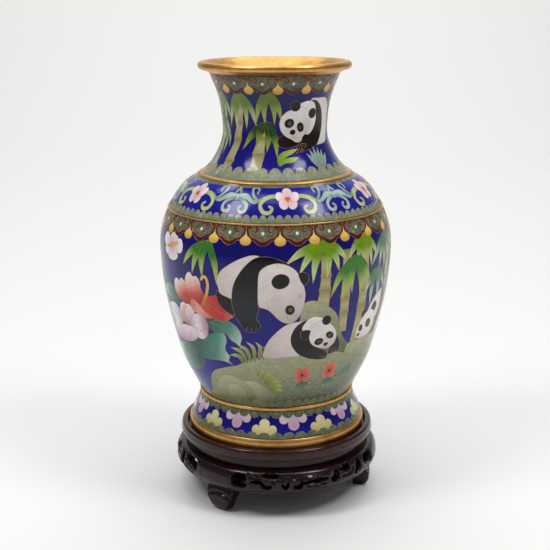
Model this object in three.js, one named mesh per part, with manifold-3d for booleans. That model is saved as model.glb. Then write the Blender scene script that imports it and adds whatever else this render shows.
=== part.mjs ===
// A cloisonne baluster vase on a pierced wooden stand with three legs.
// Millimetres, +Z up, origin on the floor under the vase's axis. The main picture faces -Y.
import * as THREE from "three";
import { mergeVertices } from "three/addons/utils/BufferGeometryUtils.js";
import Module from "manifold-3d";

const wasm = await Module();
wasm.setup();

// Driving dimensions
const SIDES = 36; // flats round every turned piece
const FIT_GAP = 0.3; // between two pieces that touch

// Vase: heights of the seams between the copper sections, and wall thicknesses
const FOOT_Z = 46; // lower edge of the foot, where it stands on the panel
const FOOT_SEAM_Z = 54.8;
const WAIST_SEAM_Z = 73.4;
const SHOULDER_SEAM_Z = 203.6;
const NECK_SEAM_Z = 226.4;
const NECK_TOP_Z = 293.2;
const MOUTH_Z = 298; // centre of the rolled lip
const MOUTH_R = 48.9;
const LIP_BEAD_R = 2.7;
const ENAMEL = 0.9;
const COPPER = 0.9;
const LINING = 0.6;

// Stand
const LEG_ANGLES = [-37, 83, 203]; // degrees round from -Y towards +X
const LEG_WIDTH = 24;
const APRON_BOTTOM = 17.4;
const APRON_TOP = 35;
const HOOP_R = 55.4; // the hoop inside the legs and aprons
const HOOP_BOTTOM = 15.6;
const RING_BOTTOM = 42;
const RING_TOP = 49.2;
const PANEL_R = 62.9;
const DOWEL_R = 1.8;
const DOWEL_CIRCLE_R = 60.4;
const DOWEL_LENGTH = 14.4;

// Outer line of the finished vase, as radius and height, from the bottom up
const FOOT_LINE = [[61.1, 52], [59.7, 57], [56.2, 64.5], [53.6, 71.2], [52.9, 74]];
const BODY_LINE = [
  [52, 72.4], [57, 82], [65.3, 99.2], [71.9, 122], [77.2, 148], [79.5, 176], [78, 191], [73.2, 203.6],
  [67.9, 212.4], [61.6, 219.8], [50.4, 227],
];
const NECK_LINE = [[51.2, 226], [43.4, 234], [36.9, 246.4], [35.2, 257], [37.3, 275.5], [43.4, 292.2], [44.6, 294.4]];

// Colours
const GILT = { color: 0xc9964a, roughness: 0.3, metalness: 1 };
const COPPER_SHEET = { color: 0x9c5a38, roughness: 0.45, metalness: 1 };
const BLUE_ENAMEL = { color: 0x1a1a7a, roughness: 0.15, metalness: 0 };
const LINING_ENAMEL = { color: 0x2b7f9e, roughness: 0.3, metalness: 0 };
const RED_WOOD = { color: 0x3d1a17, roughness: 0.35, metalness: 0 };
const DARK_WOOD = { color: 0x22100f, roughness: 0.3, metalness: 0 };

const group = new THREE.Group();

function add(name, geometry, look) {
  const mesh = new THREE.Mesh(geometry, new THREE.MeshStandardMaterial(look));
  mesh.name = name;
  group.add(mesh);
}

// ---- Turning, cutting and joining ----

// A closed profile of radius and height turned round the Z axis
function turned(profile) {
  const points = profile.map(([r, z]) => new THREE.Vector2(r, z));
  if (profile[0][0] > 0) points.push(points[0]);
  return new THREE.LatheGeometry(points, SIDES).rotateX(Math.PI / 2);
}

function toSolid(geometry) {
  const bare = geometry.clone();
  bare.deleteAttribute("normal");
  bare.deleteAttribute("uv");
  const merged = mergeVertices(bare, 1e-4);
  return new wasm.Manifold(new wasm.Mesh({
    numProp: 3,
    vertProperties: merged.attributes.position.array,
    triVerts: new Uint32Array(merged.index.array),
  }));
}

function toGeometry(solid) {
  const { vertProperties, triVerts } = solid.getMesh();
  return new THREE.BufferGeometry()
    .setAttribute("position", new THREE.BufferAttribute(vertProperties, 3))
    .setIndex(new THREE.BufferAttribute(triVerts, 1));
}

// A geometry made facing -Y, swung round the stand to an angle
const swung = (geometry, degrees) => geometry.rotateZ(THREE.MathUtils.degToRad(degrees));

// A block whose outline is drawn on the tangent plane and pushed outwards from innerR to outerR
function radialBlock(outline, degrees, innerR, outerR) {
  const shape = new THREE.Shape(outline.map(([x, z]) => new THREE.Vector2(x, z)));
  const block = new THREE.ExtrudeGeometry(shape, { depth: outerR - innerR, bevelEnabled: false });
  return swung(block.rotateX(Math.PI / 2).translate(0, -innerR, 0), degrees);
}

// An upright rod on the dowel circle
function upright(radius, low, high, degrees) {
  const rod = new THREE.CylinderGeometry(radius, radius, high - low, 10).rotateX(Math.PI / 2);
  return swung(rod.translate(0, -DOWEL_CIRCLE_R, (low + high) / 2), degrees);
}

// ---- Stand ----

function standRing() {
  return turned([
    [60, RING_BOTTOM], [67.7, RING_BOTTOM], [68.3, 44], [67.5, 48.2], [66.5, RING_TOP], [64.1, RING_TOP],
    [63.2, 48.3], [63.2, 43.2], [60, 43.2],
  ]);
}

function standPanel() {
  const [low, high] = [43.5, FOOT_Z - FIT_GAP];
  return turned([[0, low], [PANEL_R, low], [PANEL_R, high], [0, high]]);
}

// The girdle, drilled for the dowels: its disc carries the ring, and its deep hoop backs the aprons
function standWaist() {
  const [low, high] = [APRON_TOP + FIT_GAP, RING_BOTTOM - FIT_GAP];
  let waist = toSolid(turned([
    [HOOP_R - 2.2, HOOP_BOTTOM], [HOOP_R, HOOP_BOTTOM], [HOOP_R, low], [64.2, low], [64.2, 39.8],
    [66.2, 40.2], [66.8, 40.8], [66.8, high], [HOOP_R - 2.2, high],
  ]));
  for (const angle of LEG_ANGLES)
    waist = waist.subtract(toSolid(upright(DOWEL_R + FIT_GAP, low - 5, high + 5, angle)));
  return waist;
}

// Outer face of the bulging band that the aprons and the leg blocks share, from the bottom up
const BULGE = [[66.7, APRON_BOTTOM], [70.6, 21.4], [71.8, 26], [70.6, 31], [65.8, APRON_TOP]];

// Each opening of the carving: its middle in degrees from the apron's middle, and its outline round that
const CARVED_OPENINGS = [
  [-44.4, [[-5.6, 27.5], [-4.6, 24.2], [-0.5, 23], [4.6, 24], [6.4, 27.6], [4.4, 31.6], [-0.6, 32.8], [-4.6, 31]]],
  [-31.4, [[-7.6, 27.6], [-1, 26.2], [1.6, 23.6], [5.6, 23.2], [6.8, 26.4], [4.4, 28.4], [-3, 29]]],
  [-26.4, [[-5.4, 31.4], [0, 30.6], [5, 31], [5, 32.8], [-5, 33]]],
  [-18.4, [[-2, 25.4], [0.2, 23], [2.4, 25.6], [2.2, 28.2], [-2, 28]]],
  [-11.2, [[-2.8, 23.6], [2, 23.2], [3.2, 27.8], [-2.2, 28]]],
  [-1, [[-8.6, 26.2], [0, 26.6], [8.6, 27], [8.4, 28.2], [0, 28], [-8.6, 27.6]]],
  [10.8, [[-2.8, 24.8], [2.8, 24.6], [3.2, 30.6], [-1.6, 31.8]]],
  [18, [[-4.4, 30], [0, 29.4], [4, 28.6], [4.2, 32.6], [-4, 33]]],
  [28.6, [[-3.6, 24.4], [0.4, 23.6], [4.4, 28], [3, 32.4], [-0.6, 32.6], [-2.6, 28]]],
  [40.4, [[-6.8, 28.4], [-1, 27.2], [6, 25.4], [7, 31], [3, 33], [-6.4, 33]]],
];

// The three pierced aprons between the legs, in order round the stand
function aprons() {
  let band = toSolid(turned([
    [61.5, APRON_BOTTOM], ...BULGE, [56, APRON_TOP], [56, 32], [63.6, 30.8], [65.4, 26], [64.4, 21.4],
  ]));
  const half = LEG_WIDTH / 2 + FIT_GAP;
  const slot = [[-half, 0], [half, 0], [half, APRON_TOP + 5], [-half, APRON_TOP + 5]];
  for (const angle of LEG_ANGLES) {
    band = band.subtract(toSolid(radialBlock(slot, angle, 40, 90)));
    for (const [degrees, outline] of CARVED_OPENINGS)
      band = band.subtract(toSolid(radialBlock(outline, angle + 60 + degrees, 48, 80)));
  }
  const bearing = (solid) => {
    const { min, max } = solid.boundingBox();
    return Math.atan2(min[0] + max[0], -min[1] - max[1]);
  };
  return band.decompose().sort((a, b) => bearing(a) - bearing(b));
}

// A leg: a plain block of the bulging band with the foot below it in one piece
function leg(angle) {
  const whole = toSolid(turned([
    [56, 0], [63.6, 0], [66.4, 1.4], [69, 6], [69.3, 11], [68.9, 15.5], ...BULGE, [56, APRON_TOP],
  ]));
  const half = LEG_WIDTH / 2;
  const right = [[5.5, -1], [6.2, 2], [8.6, 6.5], [11.4, 11], [half, APRON_BOTTOM], [half, APRON_TOP + 5]];
  const left = right.map(([x, z]) => [-x, z]).reverse();
  const socket = upright(DOWEL_R + FIT_GAP, RING_BOTTOM - DOWEL_LENGTH - 1, APRON_TOP + 5, angle);
  return whole
    .intersect(toSolid(radialBlock([...right, ...left], angle, 40, 90)))
    .subtract(toSolid(socket));
}

add("stand_ring", standRing(), RED_WOOD);
add("stand_panel", standPanel(), RED_WOOD);
add("stand_waist", toGeometry(standWaist()), DARK_WOOD);
aprons().forEach((solid, i) => add(`stand_apron_${i + 1}`, toGeometry(solid), DARK_WOOD));
LEG_ANGLES.forEach((angle, i) => {
  const top = RING_BOTTOM - FIT_GAP;
  add(`stand_leg_${i + 1}`, toGeometry(leg(angle)), DARK_WOOD);
  add(`stand_dowel_${i + 1}`, upright(DOWEL_R, top - DOWEL_LENGTH, top, angle), DARK_WOOD);
});

// ---- Vase ----

// Radius at a height of a line moved in from the surface by depth
function radiusAt(line, depth, z) {
  const curve = new THREE.SplineCurve(line.map(([r, h]) => new THREE.Vector2(r, h)));
  const fine = 80;
  let before;
  for (let i = 0; i <= fine; i++) {
    const along = curve.getTangent(i / fine);
    const here = curve.getPoint(i / fine).add(new THREE.Vector2(-along.y, along.x).multiplyScalar(depth));
    if (before && here.y >= z)
      return before.x + (here.x - before.x) * (z - before.y) / (here.y - before.y);
    before = here;
  }
  return before.x;
}

// The line's points at even heights from low to high
function wallLine(line, depth, low, high, steps) {
  return Array.from({ length: steps + 1 }, (_, i) => {
    const z = low + (high - low) * i / steps;
    return [radiusAt(line, depth, z), z];
  });
}

// One layer of a section's wall, from depth outer to depth inner, cut level at both ends
function layer(line, outer, inner, low, high, steps) {
  return turned([
    ...wallLine(line, outer, low, high, steps),
    ...wallLine(line, inner, low, high, steps).reverse(),
  ]);
}

const COPPER_IN = ENAMEL + FIT_GAP;
const LINING_IN = COPPER_IN + COPPER + FIT_GAP;
const SEAM = FIT_GAP / 2; // each copper section stops this far from its seam

const BELLY_STEPS = 7;
const SHOULDER_STEPS = 3;

// name, outer line, lower and upper seam, how far the enamel stops short of each, steps of the line
const SECTIONS = [
  ["foot", FOOT_LINE, FOOT_SEAM_Z, WAIST_SEAM_Z, 0.2, 1.6, 3],
  ["belly", BODY_LINE, WAIST_SEAM_Z, SHOULDER_SEAM_Z, 1.6, 0.9, BELLY_STEPS],
  ["shoulder", BODY_LINE, SHOULDER_SEAM_Z, NECK_SEAM_Z, 0.9, 1.5, SHOULDER_STEPS],
  ["neck", NECK_LINE, NECK_SEAM_Z, NECK_TOP_Z, 1.6, 0, 6],
];
for (const [name, line, low, high, bare, bareTop, steps] of SECTIONS) {
  add(`${name}_shell`, layer(line, COPPER_IN, COPPER_IN + COPPER, low + SEAM, high - SEAM, steps), COPPER_SHEET);
  add(`${name}_enamel`, layer(line, 0, ENAMEL, low + bare, high - bareTop, steps), BLUE_ENAMEL);
}

// A round plate; the layers above and below it are plates too
const plate = (radius, low, high) => turned([[0, low], [radius, low], [radius, high], [0, high]]);

const FLOOR_Z = WAIST_SEAM_Z + SEAM;
const FLOOR_R = radiusAt(BODY_LINE, LINING_IN, FLOOR_Z) - 0.1;
add("floor_plate", plate(FLOOR_R, FLOOR_Z, FLOOR_Z + COPPER), COPPER_SHEET);

// The inner enamel of belly and shoulder in one layer, closed over the floor plate
function bodyLining() {
  const floor = FLOOR_Z + COPPER + FIT_GAP;
  const wall = (depth, start) => {
    const points = [
      ...wallLine(BODY_LINE, depth, WAIST_SEAM_Z + SEAM, SHOULDER_SEAM_Z - SEAM, BELLY_STEPS),
      ...wallLine(BODY_LINE, depth, SHOULDER_SEAM_Z + SEAM, NECK_SEAM_Z - SEAM, SHOULDER_STEPS),
    ];
    const [[r0, z0], [r1, z1]] = points;
    points[0] = [r0 + (r1 - r0) * (start - z0) / (z1 - z0), start];
    return points;
  };
  const inside = wall(LINING_IN + LINING, floor + LINING).reverse();
  return turned([[0, floor], ...wall(LINING_IN, floor), ...inside, [0, floor + LINING]]);
}

add("body_lining", bodyLining(), LINING_ENAMEL);
add("neck_lining", layer(NECK_LINE, LINING_IN, LINING_IN + LINING, NECK_SEAM_Z + SEAM, 289, 6), LINING_ENAMEL);

const BASE_Z = FOOT_SEAM_Z + 1.4;
const BASE_R = radiusAt(FOOT_LINE, LINING_IN, BASE_Z + COPPER) - 0.1;
add("base_plate", plate(BASE_R, BASE_Z, BASE_Z + COPPER), COPPER_SHEET);
add("base_enamel", plate(BASE_R - 1.5, BASE_Z - FIT_GAP - LINING, BASE_Z - FIT_GAP), BLUE_ENAMEL);

// The lip: a rolled bead at the edge of a flaring throat that lines the neck's top
function mouthRim() {
  const bead = [-110, -65, -20, 25, 70, 115].map((degrees) => {
    const a = THREE.MathUtils.degToRad(degrees);
    return [MOUTH_R + LIP_BEAD_R * Math.cos(a), MOUTH_Z + LIP_BEAD_R * Math.sin(a)];
  });
  const throat = [[41.6, 295], [38.8, 289.4], [39.5, 289.4], [41.2, NECK_TOP_Z + FIT_GAP]];
  return turned([[44.6, NECK_TOP_Z + FIT_GAP], ...bead, ...throat]);
}

// A half-round moulding over a seam, standing proud of radius; its back is at rootLow and rootHigh
function seamRing(radius, z, height, proud, rootLow, rootHigh) {
  const [low, high] = [z - height / 2, z + height / 2];
  return turned([
    [rootLow, low], [radius + proud * 0.4, low], [radius + proud, z - height * 0.18],
    [radius + proud, z + height * 0.18], [radius + proud * 0.4, high], [rootHigh, high],
  ]);
}

// The gilt band round the lower edge of the foot
function footRing() {
  return turned([
    [57.8, FOOT_Z], [60.9, FOOT_Z], [61.9, 47.4], [61.9, 52.4], [60.7, FOOT_SEAM_Z - SEAM],
    [57.8, FOOT_SEAM_Z - SEAM],
  ]);
}

add("mouth_rim", mouthRim(), GILT);
add("neck_ring", seamRing(51.6, NECK_SEAM_Z + 0.1, 2.4, 1, 51.3, 49.4), GILT);
add("shoulder_ring", seamRing(73.2, SHOULDER_SEAM_Z, 1.2, 0.6, 72.6, 72.3), GILT);
add("waist_ring", seamRing(53.2, WAIST_SEAM_Z, 2.6, 1.1, 52.5, 52.1), GILT);
add("foot_ring", footRing(), GILT);

export default group;
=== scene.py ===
"""A cloisonne baluster vase with pandas, bamboo and flowers, on a pierced hardwood stand.

Metres, +Z up, the vase's axis on Z, the main picture towards -Y. Outlines are drawn in
millimetres and turned to metres where a mesh is made.
"""
import math

import bpy
import numpy as np
from mathutils import Matrix
from mathutils.geometry import delaunay_2d_cdt


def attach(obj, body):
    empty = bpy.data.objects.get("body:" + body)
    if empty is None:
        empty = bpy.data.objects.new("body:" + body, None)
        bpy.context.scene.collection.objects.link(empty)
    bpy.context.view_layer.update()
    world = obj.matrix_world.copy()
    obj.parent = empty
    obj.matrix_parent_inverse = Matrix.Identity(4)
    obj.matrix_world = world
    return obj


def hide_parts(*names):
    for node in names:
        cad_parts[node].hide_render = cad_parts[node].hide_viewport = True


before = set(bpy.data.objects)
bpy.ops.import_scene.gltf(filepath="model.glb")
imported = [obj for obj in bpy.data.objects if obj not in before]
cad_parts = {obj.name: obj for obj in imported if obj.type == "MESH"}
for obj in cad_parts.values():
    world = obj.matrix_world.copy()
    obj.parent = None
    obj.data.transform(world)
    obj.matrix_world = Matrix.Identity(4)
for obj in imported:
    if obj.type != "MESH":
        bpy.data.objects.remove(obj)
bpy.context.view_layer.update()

MM = 0.001

# ---- Camera, light and floor ----
# A long lens a little above the mouth of the vase, soft boxes at the left, at the right and
# overhead, one more for the backdrop, and a sweep of white paper that rises behind the vase.


def tint(hex_colour):
    """An sRGB hex colour as linear red, green, blue."""
    parts = [int(hex_colour[i:i + 2], 16) / 255 for i in (1, 3, 5)]
    return [c / 12.92 if c <= 0.04045 else ((c + 0.055) / 1.055) ** 2.4 for c in parts]


def add_node(tree, kind, inputs=None, **settings):
    """Adds a node; a node's output among the inputs is linked, anything else is set."""
    node = tree.nodes.new(kind)
    for name, value in settings.items():
        setattr(node, name, value)
    for name, value in (inputs or {}).items():
        if isinstance(value, bpy.types.NodeSocket):
            tree.links.new(value, node.inputs[name])
        else:
            node.inputs[name].default_value = value
    return node


def add_ramp(tree, factor, stops):
    """A colour ramp through two or more stops, each a place from 0 to 1 and an sRGB hex colour."""
    ramp = add_node(tree, "ShaderNodeValToRGB", {"Fac": factor})
    for number, (where, colour) in enumerate(stops):
        stop = ramp.color_ramp.elements[number] if number < 2 else ramp.color_ramp.elements.new(where)
        stop.position = where
        stop.color = (*tint(colour), 1)
    return ramp


# Which sockets of a Mix node carry colours
MIX_FACTOR, MIX_A, MIX_B, MIX_RESULT = 0, 6, 7, 2


def new_material(name):
    """A material with nodes, its tree emptied but for a Principled shader and its output."""
    material = bpy.data.materials.new(name)
    material.use_nodes = True
    tree = material.node_tree
    tree.nodes.clear()
    shader = add_node(tree, "ShaderNodeBsdfPrincipled")
    add_node(tree, "ShaderNodeOutputMaterial", {"Surface": shader.outputs["BSDF"]})
    return material, tree, shader


def new_piece(name, points, faces, material, edges=()):
    """A mesh object at the origin from points in millimetres."""
    mesh = bpy.data.meshes.new(name)
    mesh.from_pydata([tuple(p) for p in np.asarray(points, float) * MM], list(edges), list(faces))
    if material:
        mesh.materials.append(material)
    piece = bpy.data.objects.new(name, mesh)
    bpy.context.scene.collection.objects.link(piece)
    return piece


CAMERA_PLACE = (0, -0.7678, 0.3467)
CAMERA_LENS = 74.15
CAMERA_DOWN = 14.158  # degrees below level
CAMERA_ROLL = -0.299
CAMERA_YAW = 0.039

camera = bpy.data.objects.new("camera", bpy.data.cameras.new("camera"))
camera.data.lens = CAMERA_LENS
camera.data.sensor_width = 36
camera.matrix_world = (
    Matrix.Translation(CAMERA_PLACE)
    @ Matrix.Rotation(math.radians(CAMERA_YAW), 4, "Z")
    @ Matrix.Rotation(math.radians(90 - CAMERA_DOWN), 4, "X")
    @ Matrix.Rotation(math.radians(CAMERA_ROLL), 4, "Z")
)
bpy.context.scene.collection.objects.link(camera)
bpy.context.scene.camera = camera

paper, tree, shader = new_material("matt white paper")
grain = add_node(tree, "ShaderNodeTexNoise", {"Scale": 900.0, "Detail": 3.0})
bump = add_node(
    tree, "ShaderNodeBump", {"Strength": 0.02, "Distance": 0.0005, "Height": grain.outputs["Fac"]}
)
shader.inputs["Base Color"].default_value = (*tint("#efefee"), 1)
shader.inputs["Roughness"].default_value = 0.85
shader.inputs["Specular IOR Level"].default_value = 0.1
tree.links.new(bump.outputs["Normal"], shader.inputs["Normal"])

SWEEP_WIDTH = 3000
SWEEP_FRONT = -2600
SWEEP_BACK = 1400
SWEEP_RADIUS = 900
SWEEP_TOP = 2600
sweep_line = [(SWEEP_FRONT, 0)]
for step in range(25):
    turn = math.radians(90 * step / 24)
    sweep_line.append((SWEEP_BACK + SWEEP_RADIUS * math.sin(turn), SWEEP_RADIUS * (1 - math.cos(turn))))
sweep_line.append((SWEEP_BACK + SWEEP_RADIUS, SWEEP_TOP))
floor = new_piece(
    "floor",
    [(x, y, z) for y, z in sweep_line for x in (-SWEEP_WIDTH, SWEEP_WIDTH)],
    [(2 * i, 2 * i + 1, 2 * i + 3, 2 * i + 2) for i in range(len(sweep_line) - 1)],
    paper,
)
floor.data.polygons.foreach_set("use_smooth", [True] * len(floor.data.polygons))

world = bpy.data.worlds.new("studio")
world.use_nodes = True
world.node_tree.nodes["Background"].inputs["Color"].default_value = (*tint("#f7f6f4"), 1)
world.node_tree.nodes["Background"].inputs["Strength"].default_value = 0.22
bpy.context.scene.world = world
bpy.context.scene.view_settings.view_transform = "Standard"


def soft_box(name, place, aim, width, height, power):
    """A rectangular soft white light that faces a point, which may not be straight below it."""
    lamp = bpy.data.objects.new(name, bpy.data.lights.new(name, "AREA"))
    lamp.data.shape = "RECTANGLE"
    lamp.data.size = width
    lamp.data.size_y = height
    lamp.data.energy = power
    towards = np.array(aim) - np.array(place)
    across = np.cross(towards, (0, 0, 1))
    up = np.cross(across, towards)
    axes = [v / np.linalg.norm(v) for v in (across, up, -towards)]
    lamp.matrix_world = Matrix.Translation(place) @ Matrix(np.array(axes).T.tolist()).to_4x4()
    bpy.context.scene.collection.objects.link(lamp)


VASE_MIDDLE = (0, 0, 0.15)
soft_box("box_left", (-0.62, -0.4, 1.1), VASE_MIDDLE, 0.34, 0.34, 4.2)
soft_box("box_right", (0.62, -0.4, 1.1), VASE_MIDDLE, 0.34, 0.34, 4.2)
soft_box("box_top", (0.0, -0.1, 1.6), (0, 0, 0), 1.3, 1.1, 9.0)
soft_box("box_back", (0.0, 1.1, 2.2), (0, 2.3, 0.6), 2.4, 0.8, 32.0)

# ---- Stand: legs and aprons ----
# Three cabriole legs and the three pierced aprons between them, of a dense red hardwood carved
# by hand, stained nearly black and lacquered; the aprons are tenoned into the legs.


def bent(points, closed=True, step=0.8):
    """A smooth line through the points; a point with a third value is a sharp corner."""
    places = [np.array(p[:2], float) for p in points]
    sharp = [len(p) > 2 for p in points]
    count = len(places)
    line = []
    for i in range(count if closed else count - 1):
        j = (i + 1) % count
        here, there = places[i], places[j]
        length = np.linalg.norm(there - here)
        before = here if sharp[i] or (not closed and i == 0) else places[i - 1]
        after = there if sharp[j] or (not closed and j == count - 1) else places[(j + 1) % count]
        out_pull = (there - before) * length / (length + np.linalg.norm(here - before))
        in_pull = (after - here) * length / (length + np.linalg.norm(after - there))
        parts = max(2, round(length / step))
        t = np.arange(parts)[:, None] / parts
        line.append(
            (2 * t**3 - 3 * t**2 + 1) * here + (t**3 - 2 * t**2 + t) * out_pull
            + (3 * t**2 - 2 * t**3) * there + (t**3 - t**2) * in_pull
        )
    if not closed:
        line.append(places[-1][None])
    return np.concatenate(line)


def cut_flat(outlines, spacing):
    """Cuts overlapping outlines into triangles; gives points, triangles and each one's top outline."""
    points, loops = [], []
    for outline in outlines:
        after = np.roll(outline, -1, 0)
        area = np.sum(outline[:, 0] * after[:, 1] - after[:, 0] * outline[:, 1])
        loops.append(list(range(len(points), len(points) + len(outline))))
        points.extend(outline if area > 0 else outline[::-1])
    low, high = outlines[0].min(0), outlines[0].max(0)
    for row, z in enumerate(np.arange(low[1] + spacing / 2, high[1], spacing)):
        for x in np.arange(low[0] + spacing * (0.25 + row % 2 / 2), high[0], spacing):
            points.append((x, z))
    cut = delaunay_2d_cdt([tuple(p) for p in points], [], loops, 1, 1e-5, True)
    top = [max(outline, default=-1) for outline in cut[5]]
    return np.array([tuple(p) for p in cut[0]]), np.array(cut[2]), np.array(top)


def edge_table(triangles):
    """Each edge of the triangles, with the number and the direction of each triangle beside it."""
    beside = {}
    for number, (a, b, c) in enumerate(triangles):
        for edge in ((a, b), (b, c), (c, a)):
            key = (min(edge), max(edge))
            beside.setdefault(key, []).append((number, edge))
    return beside


def gap_to(points, lines):
    """The distance from each point to the nearest of the line segments."""
    best = np.full(len(points), 1e9)
    for line in lines:
        for a, b in zip(line[:-1], line[1:]):
            along = b - a
            t = np.clip((points - a) @ along / max(along @ along, 1e-12), 0, 1)
            best = np.minimum(best, np.hypot(*(points - a - t[:, None] * along).T))
    return best


BOARD_R = 70  # the boards are drawn flat at this radius and bent round the stand
BOARD_GRID = 0.65  # spacing of the points on a board's faces
GLUED_FROM = 16.5  # above this height a leg and an apron meet


def carved_board(name, middle, outline, openings, grooves, face, back, material, joint):
    """A curved board: pierced, its edges rounded over, and grooved; middle is in degrees.

    Edges that lie past joint, high enough to be glued to the next board, stay square.
    """
    loops = [bent(outline, step=0.7)] + [bent(o, step=0.7) for o in openings]
    flat, triangles, top = cut_flat(loops, BOARD_GRID)
    triangles = triangles[top == 0]
    borders = []
    for loop in loops:
        ring = np.vstack([loop, loop[:1]])
        glued = (np.abs(ring[:, 0]) > joint) & (ring[:, 1] > GLUED_FROM)
        borders.extend(ring[i:i + 2] for i in range(len(loop)) if not (glued[i] and glued[i + 1]))
    from_edge = np.clip(gap_to(flat, borders) / ROUND_OVER, 0, 1)
    sunk = ROUND_OVER * (1 - np.sqrt(1 - (1 - from_edge) ** 2))
    if grooves:
        gap = gap_to(flat, [bent(g, closed=False) for g in grooves])
        sunk += GROOVE_DEEP * np.exp(-(gap / GROOVE_HALF) ** 2)
    angle = math.radians(middle) + flat[:, 0] / BOARD_R
    sides = []
    for line, cut in ((face, sunk), (back, 0 * sunk)):
        line = np.array(line, float)
        radius = np.interp(flat[:, 1], line[:, 1], line[:, 0]) - cut
        sides.append(np.column_stack([radius * np.sin(angle), -radius * np.cos(angle), flat[:, 1]]))
    count = len(flat)
    faces = [tuple(t) for t in triangles] + [(a + count, c + count, b + count) for a, b, c in triangles]
    for beside in edge_table(triangles).values():
        if len(beside) == 1:
            a, b = beside[0][1]
            faces.append((b, a, a + count, b + count))
    board = new_piece(name, np.vstack(sides), faces, material)
    # lighter colour towards the carved edges: partly wear, partly a painted highlight on the edges
    wear_and_highlight = board.data.attributes.new("edge", "FLOAT", "POINT")
    wear_and_highlight.data.foreach_set("value", np.concatenate([1 - from_edge, np.zeros(count)]))
    return board


def finish_mesh(piece, sharp_angle=40):
    """Drops loose points, turns faces outwards, and shades smooth but for sharp edges."""
    import bmesh
    work = bmesh.new()
    work.from_mesh(piece.data)
    bmesh.ops.delete(work, geom=[v for v in work.verts if not v.link_faces], context="VERTS")
    bmesh.ops.recalc_face_normals(work, faces=work.faces)
    work.to_mesh(piece.data)
    work.free()
    piece.data.polygons.foreach_set("use_smooth", [True] * len(piece.data.polygons))
    piece.data.set_sharp_from_angle(angle=math.radians(sharp_angle))
    piece.data.update()


# Hardwood under dark stain and gloss lacquer: the pores run along the grain and print through
# the lacquer; the edges turn red-brown, partly stain thinned by handling, partly painted highlight.
def lacquered_wood(name, stain, rubbed_and_highlight, gloss):
    material, tree, shader = new_material(name)
    place = add_node(tree, "ShaderNodeTexCoord").outputs["Object"]
    drawn = add_node(tree, "ShaderNodeMapping", {"Vector": place, "Scale": (1, 1, 0.16)})
    grain = add_node(
        tree, "ShaderNodeTexNoise", {"Vector": drawn.outputs["Vector"], "Scale": 700.0, "Detail": 5.0}
    )
    bands = add_node(
        tree, "ShaderNodeTexNoise", {"Vector": drawn.outputs["Vector"], "Scale": 90.0, "Detail": 2.0}
    )
    ramp = add_ramp(tree, bands.outputs["Fac"], ((0.35, stain[0]), (0.7, stain[1])))
    # edge colour: partly stain rubbed thin, partly a painted highlight along the carved edges
    edge = add_node(tree, "ShaderNodeAttribute", attribute_name="edge")
    edge_wear_highlight_mix = add_node(
        tree, "ShaderNodeMath", {0: edge.outputs["Fac"], 1: grain.outputs["Fac"]}, operation="MULTIPLY"
    )
    edge_wear_highlight_mix = add_node(
        tree, "ShaderNodeMapRange",
        {"Value": edge_wear_highlight_mix.outputs[0], "From Min": 0.28, "From Max": 0.62, "To Max": 0.3},
    )
    colour = add_node(
        tree, "ShaderNodeMix",
        {MIX_FACTOR: edge_wear_highlight_mix.outputs[0], MIX_A: ramp.outputs["Color"], MIX_B: (*tint(rubbed_and_highlight), 1)},
        data_type="RGBA",
    )
    tree.links.new(colour.outputs[MIX_RESULT], shader.inputs["Base Color"])
    rough = add_node(
        tree, "ShaderNodeMapRange",
        {
            "Value": grain.outputs["Fac"], "From Min": 0.3, "From Max": 0.7,
            "To Min": gloss, "To Max": gloss + 0.14,
        },
    )
    tree.links.new(rough.outputs[0], shader.inputs["Roughness"])
    bump = add_node(
        tree, "ShaderNodeBump", {"Strength": 0.22, "Distance": 0.0001, "Height": grain.outputs["Fac"]}
    )
    tree.links.new(bump.outputs["Normal"], shader.inputs["Normal"])
    shader.inputs["Specular IOR Level"].default_value = 0.36
    return material


# the third colour is the edges' colour, partly rubbed stain and partly painted highlight
dark_wood = lacquered_wood("dark stained hardwood, gloss lacquer", ("#110508", "#220c10"), "#3b1917", 0.1)

ROUND_OVER = 1.3  # edges of the carving
GROOVE_DEEP = 1.1
GROOVE_HALF = 0.9

# Face and back of the bulging band, as radius and height
BULGE = [
    (66.7, 17.4), (69, 19.3), (70.6, 21.4), (71.6, 23.8), (71.8, 26), (71.6, 28.6), (70.9, 31.3),
    (69.4, 33.6), (67.6, 34.8), (66.6, 35),
]
APRON_BACK = [(61.5, 17.4), (64.4, 21.4), (65.4, 26), (63.6, 30.8), (56, 32), (56, 35)]
APRON_HALF = 61.1
APRON_OUTLINE = [
    (-APRON_HALF, 17.4, 1), (-46, 17.7), (-34, 18.6), (-24, 17.6), (0, 18.2), (24, 17.6), (34, 18.6),
    (46, 17.7), (APRON_HALF, 17.4, 1), (APRON_HALF, 35, 1), (0, 35), (-APRON_HALF, 35, 1),
]
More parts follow.
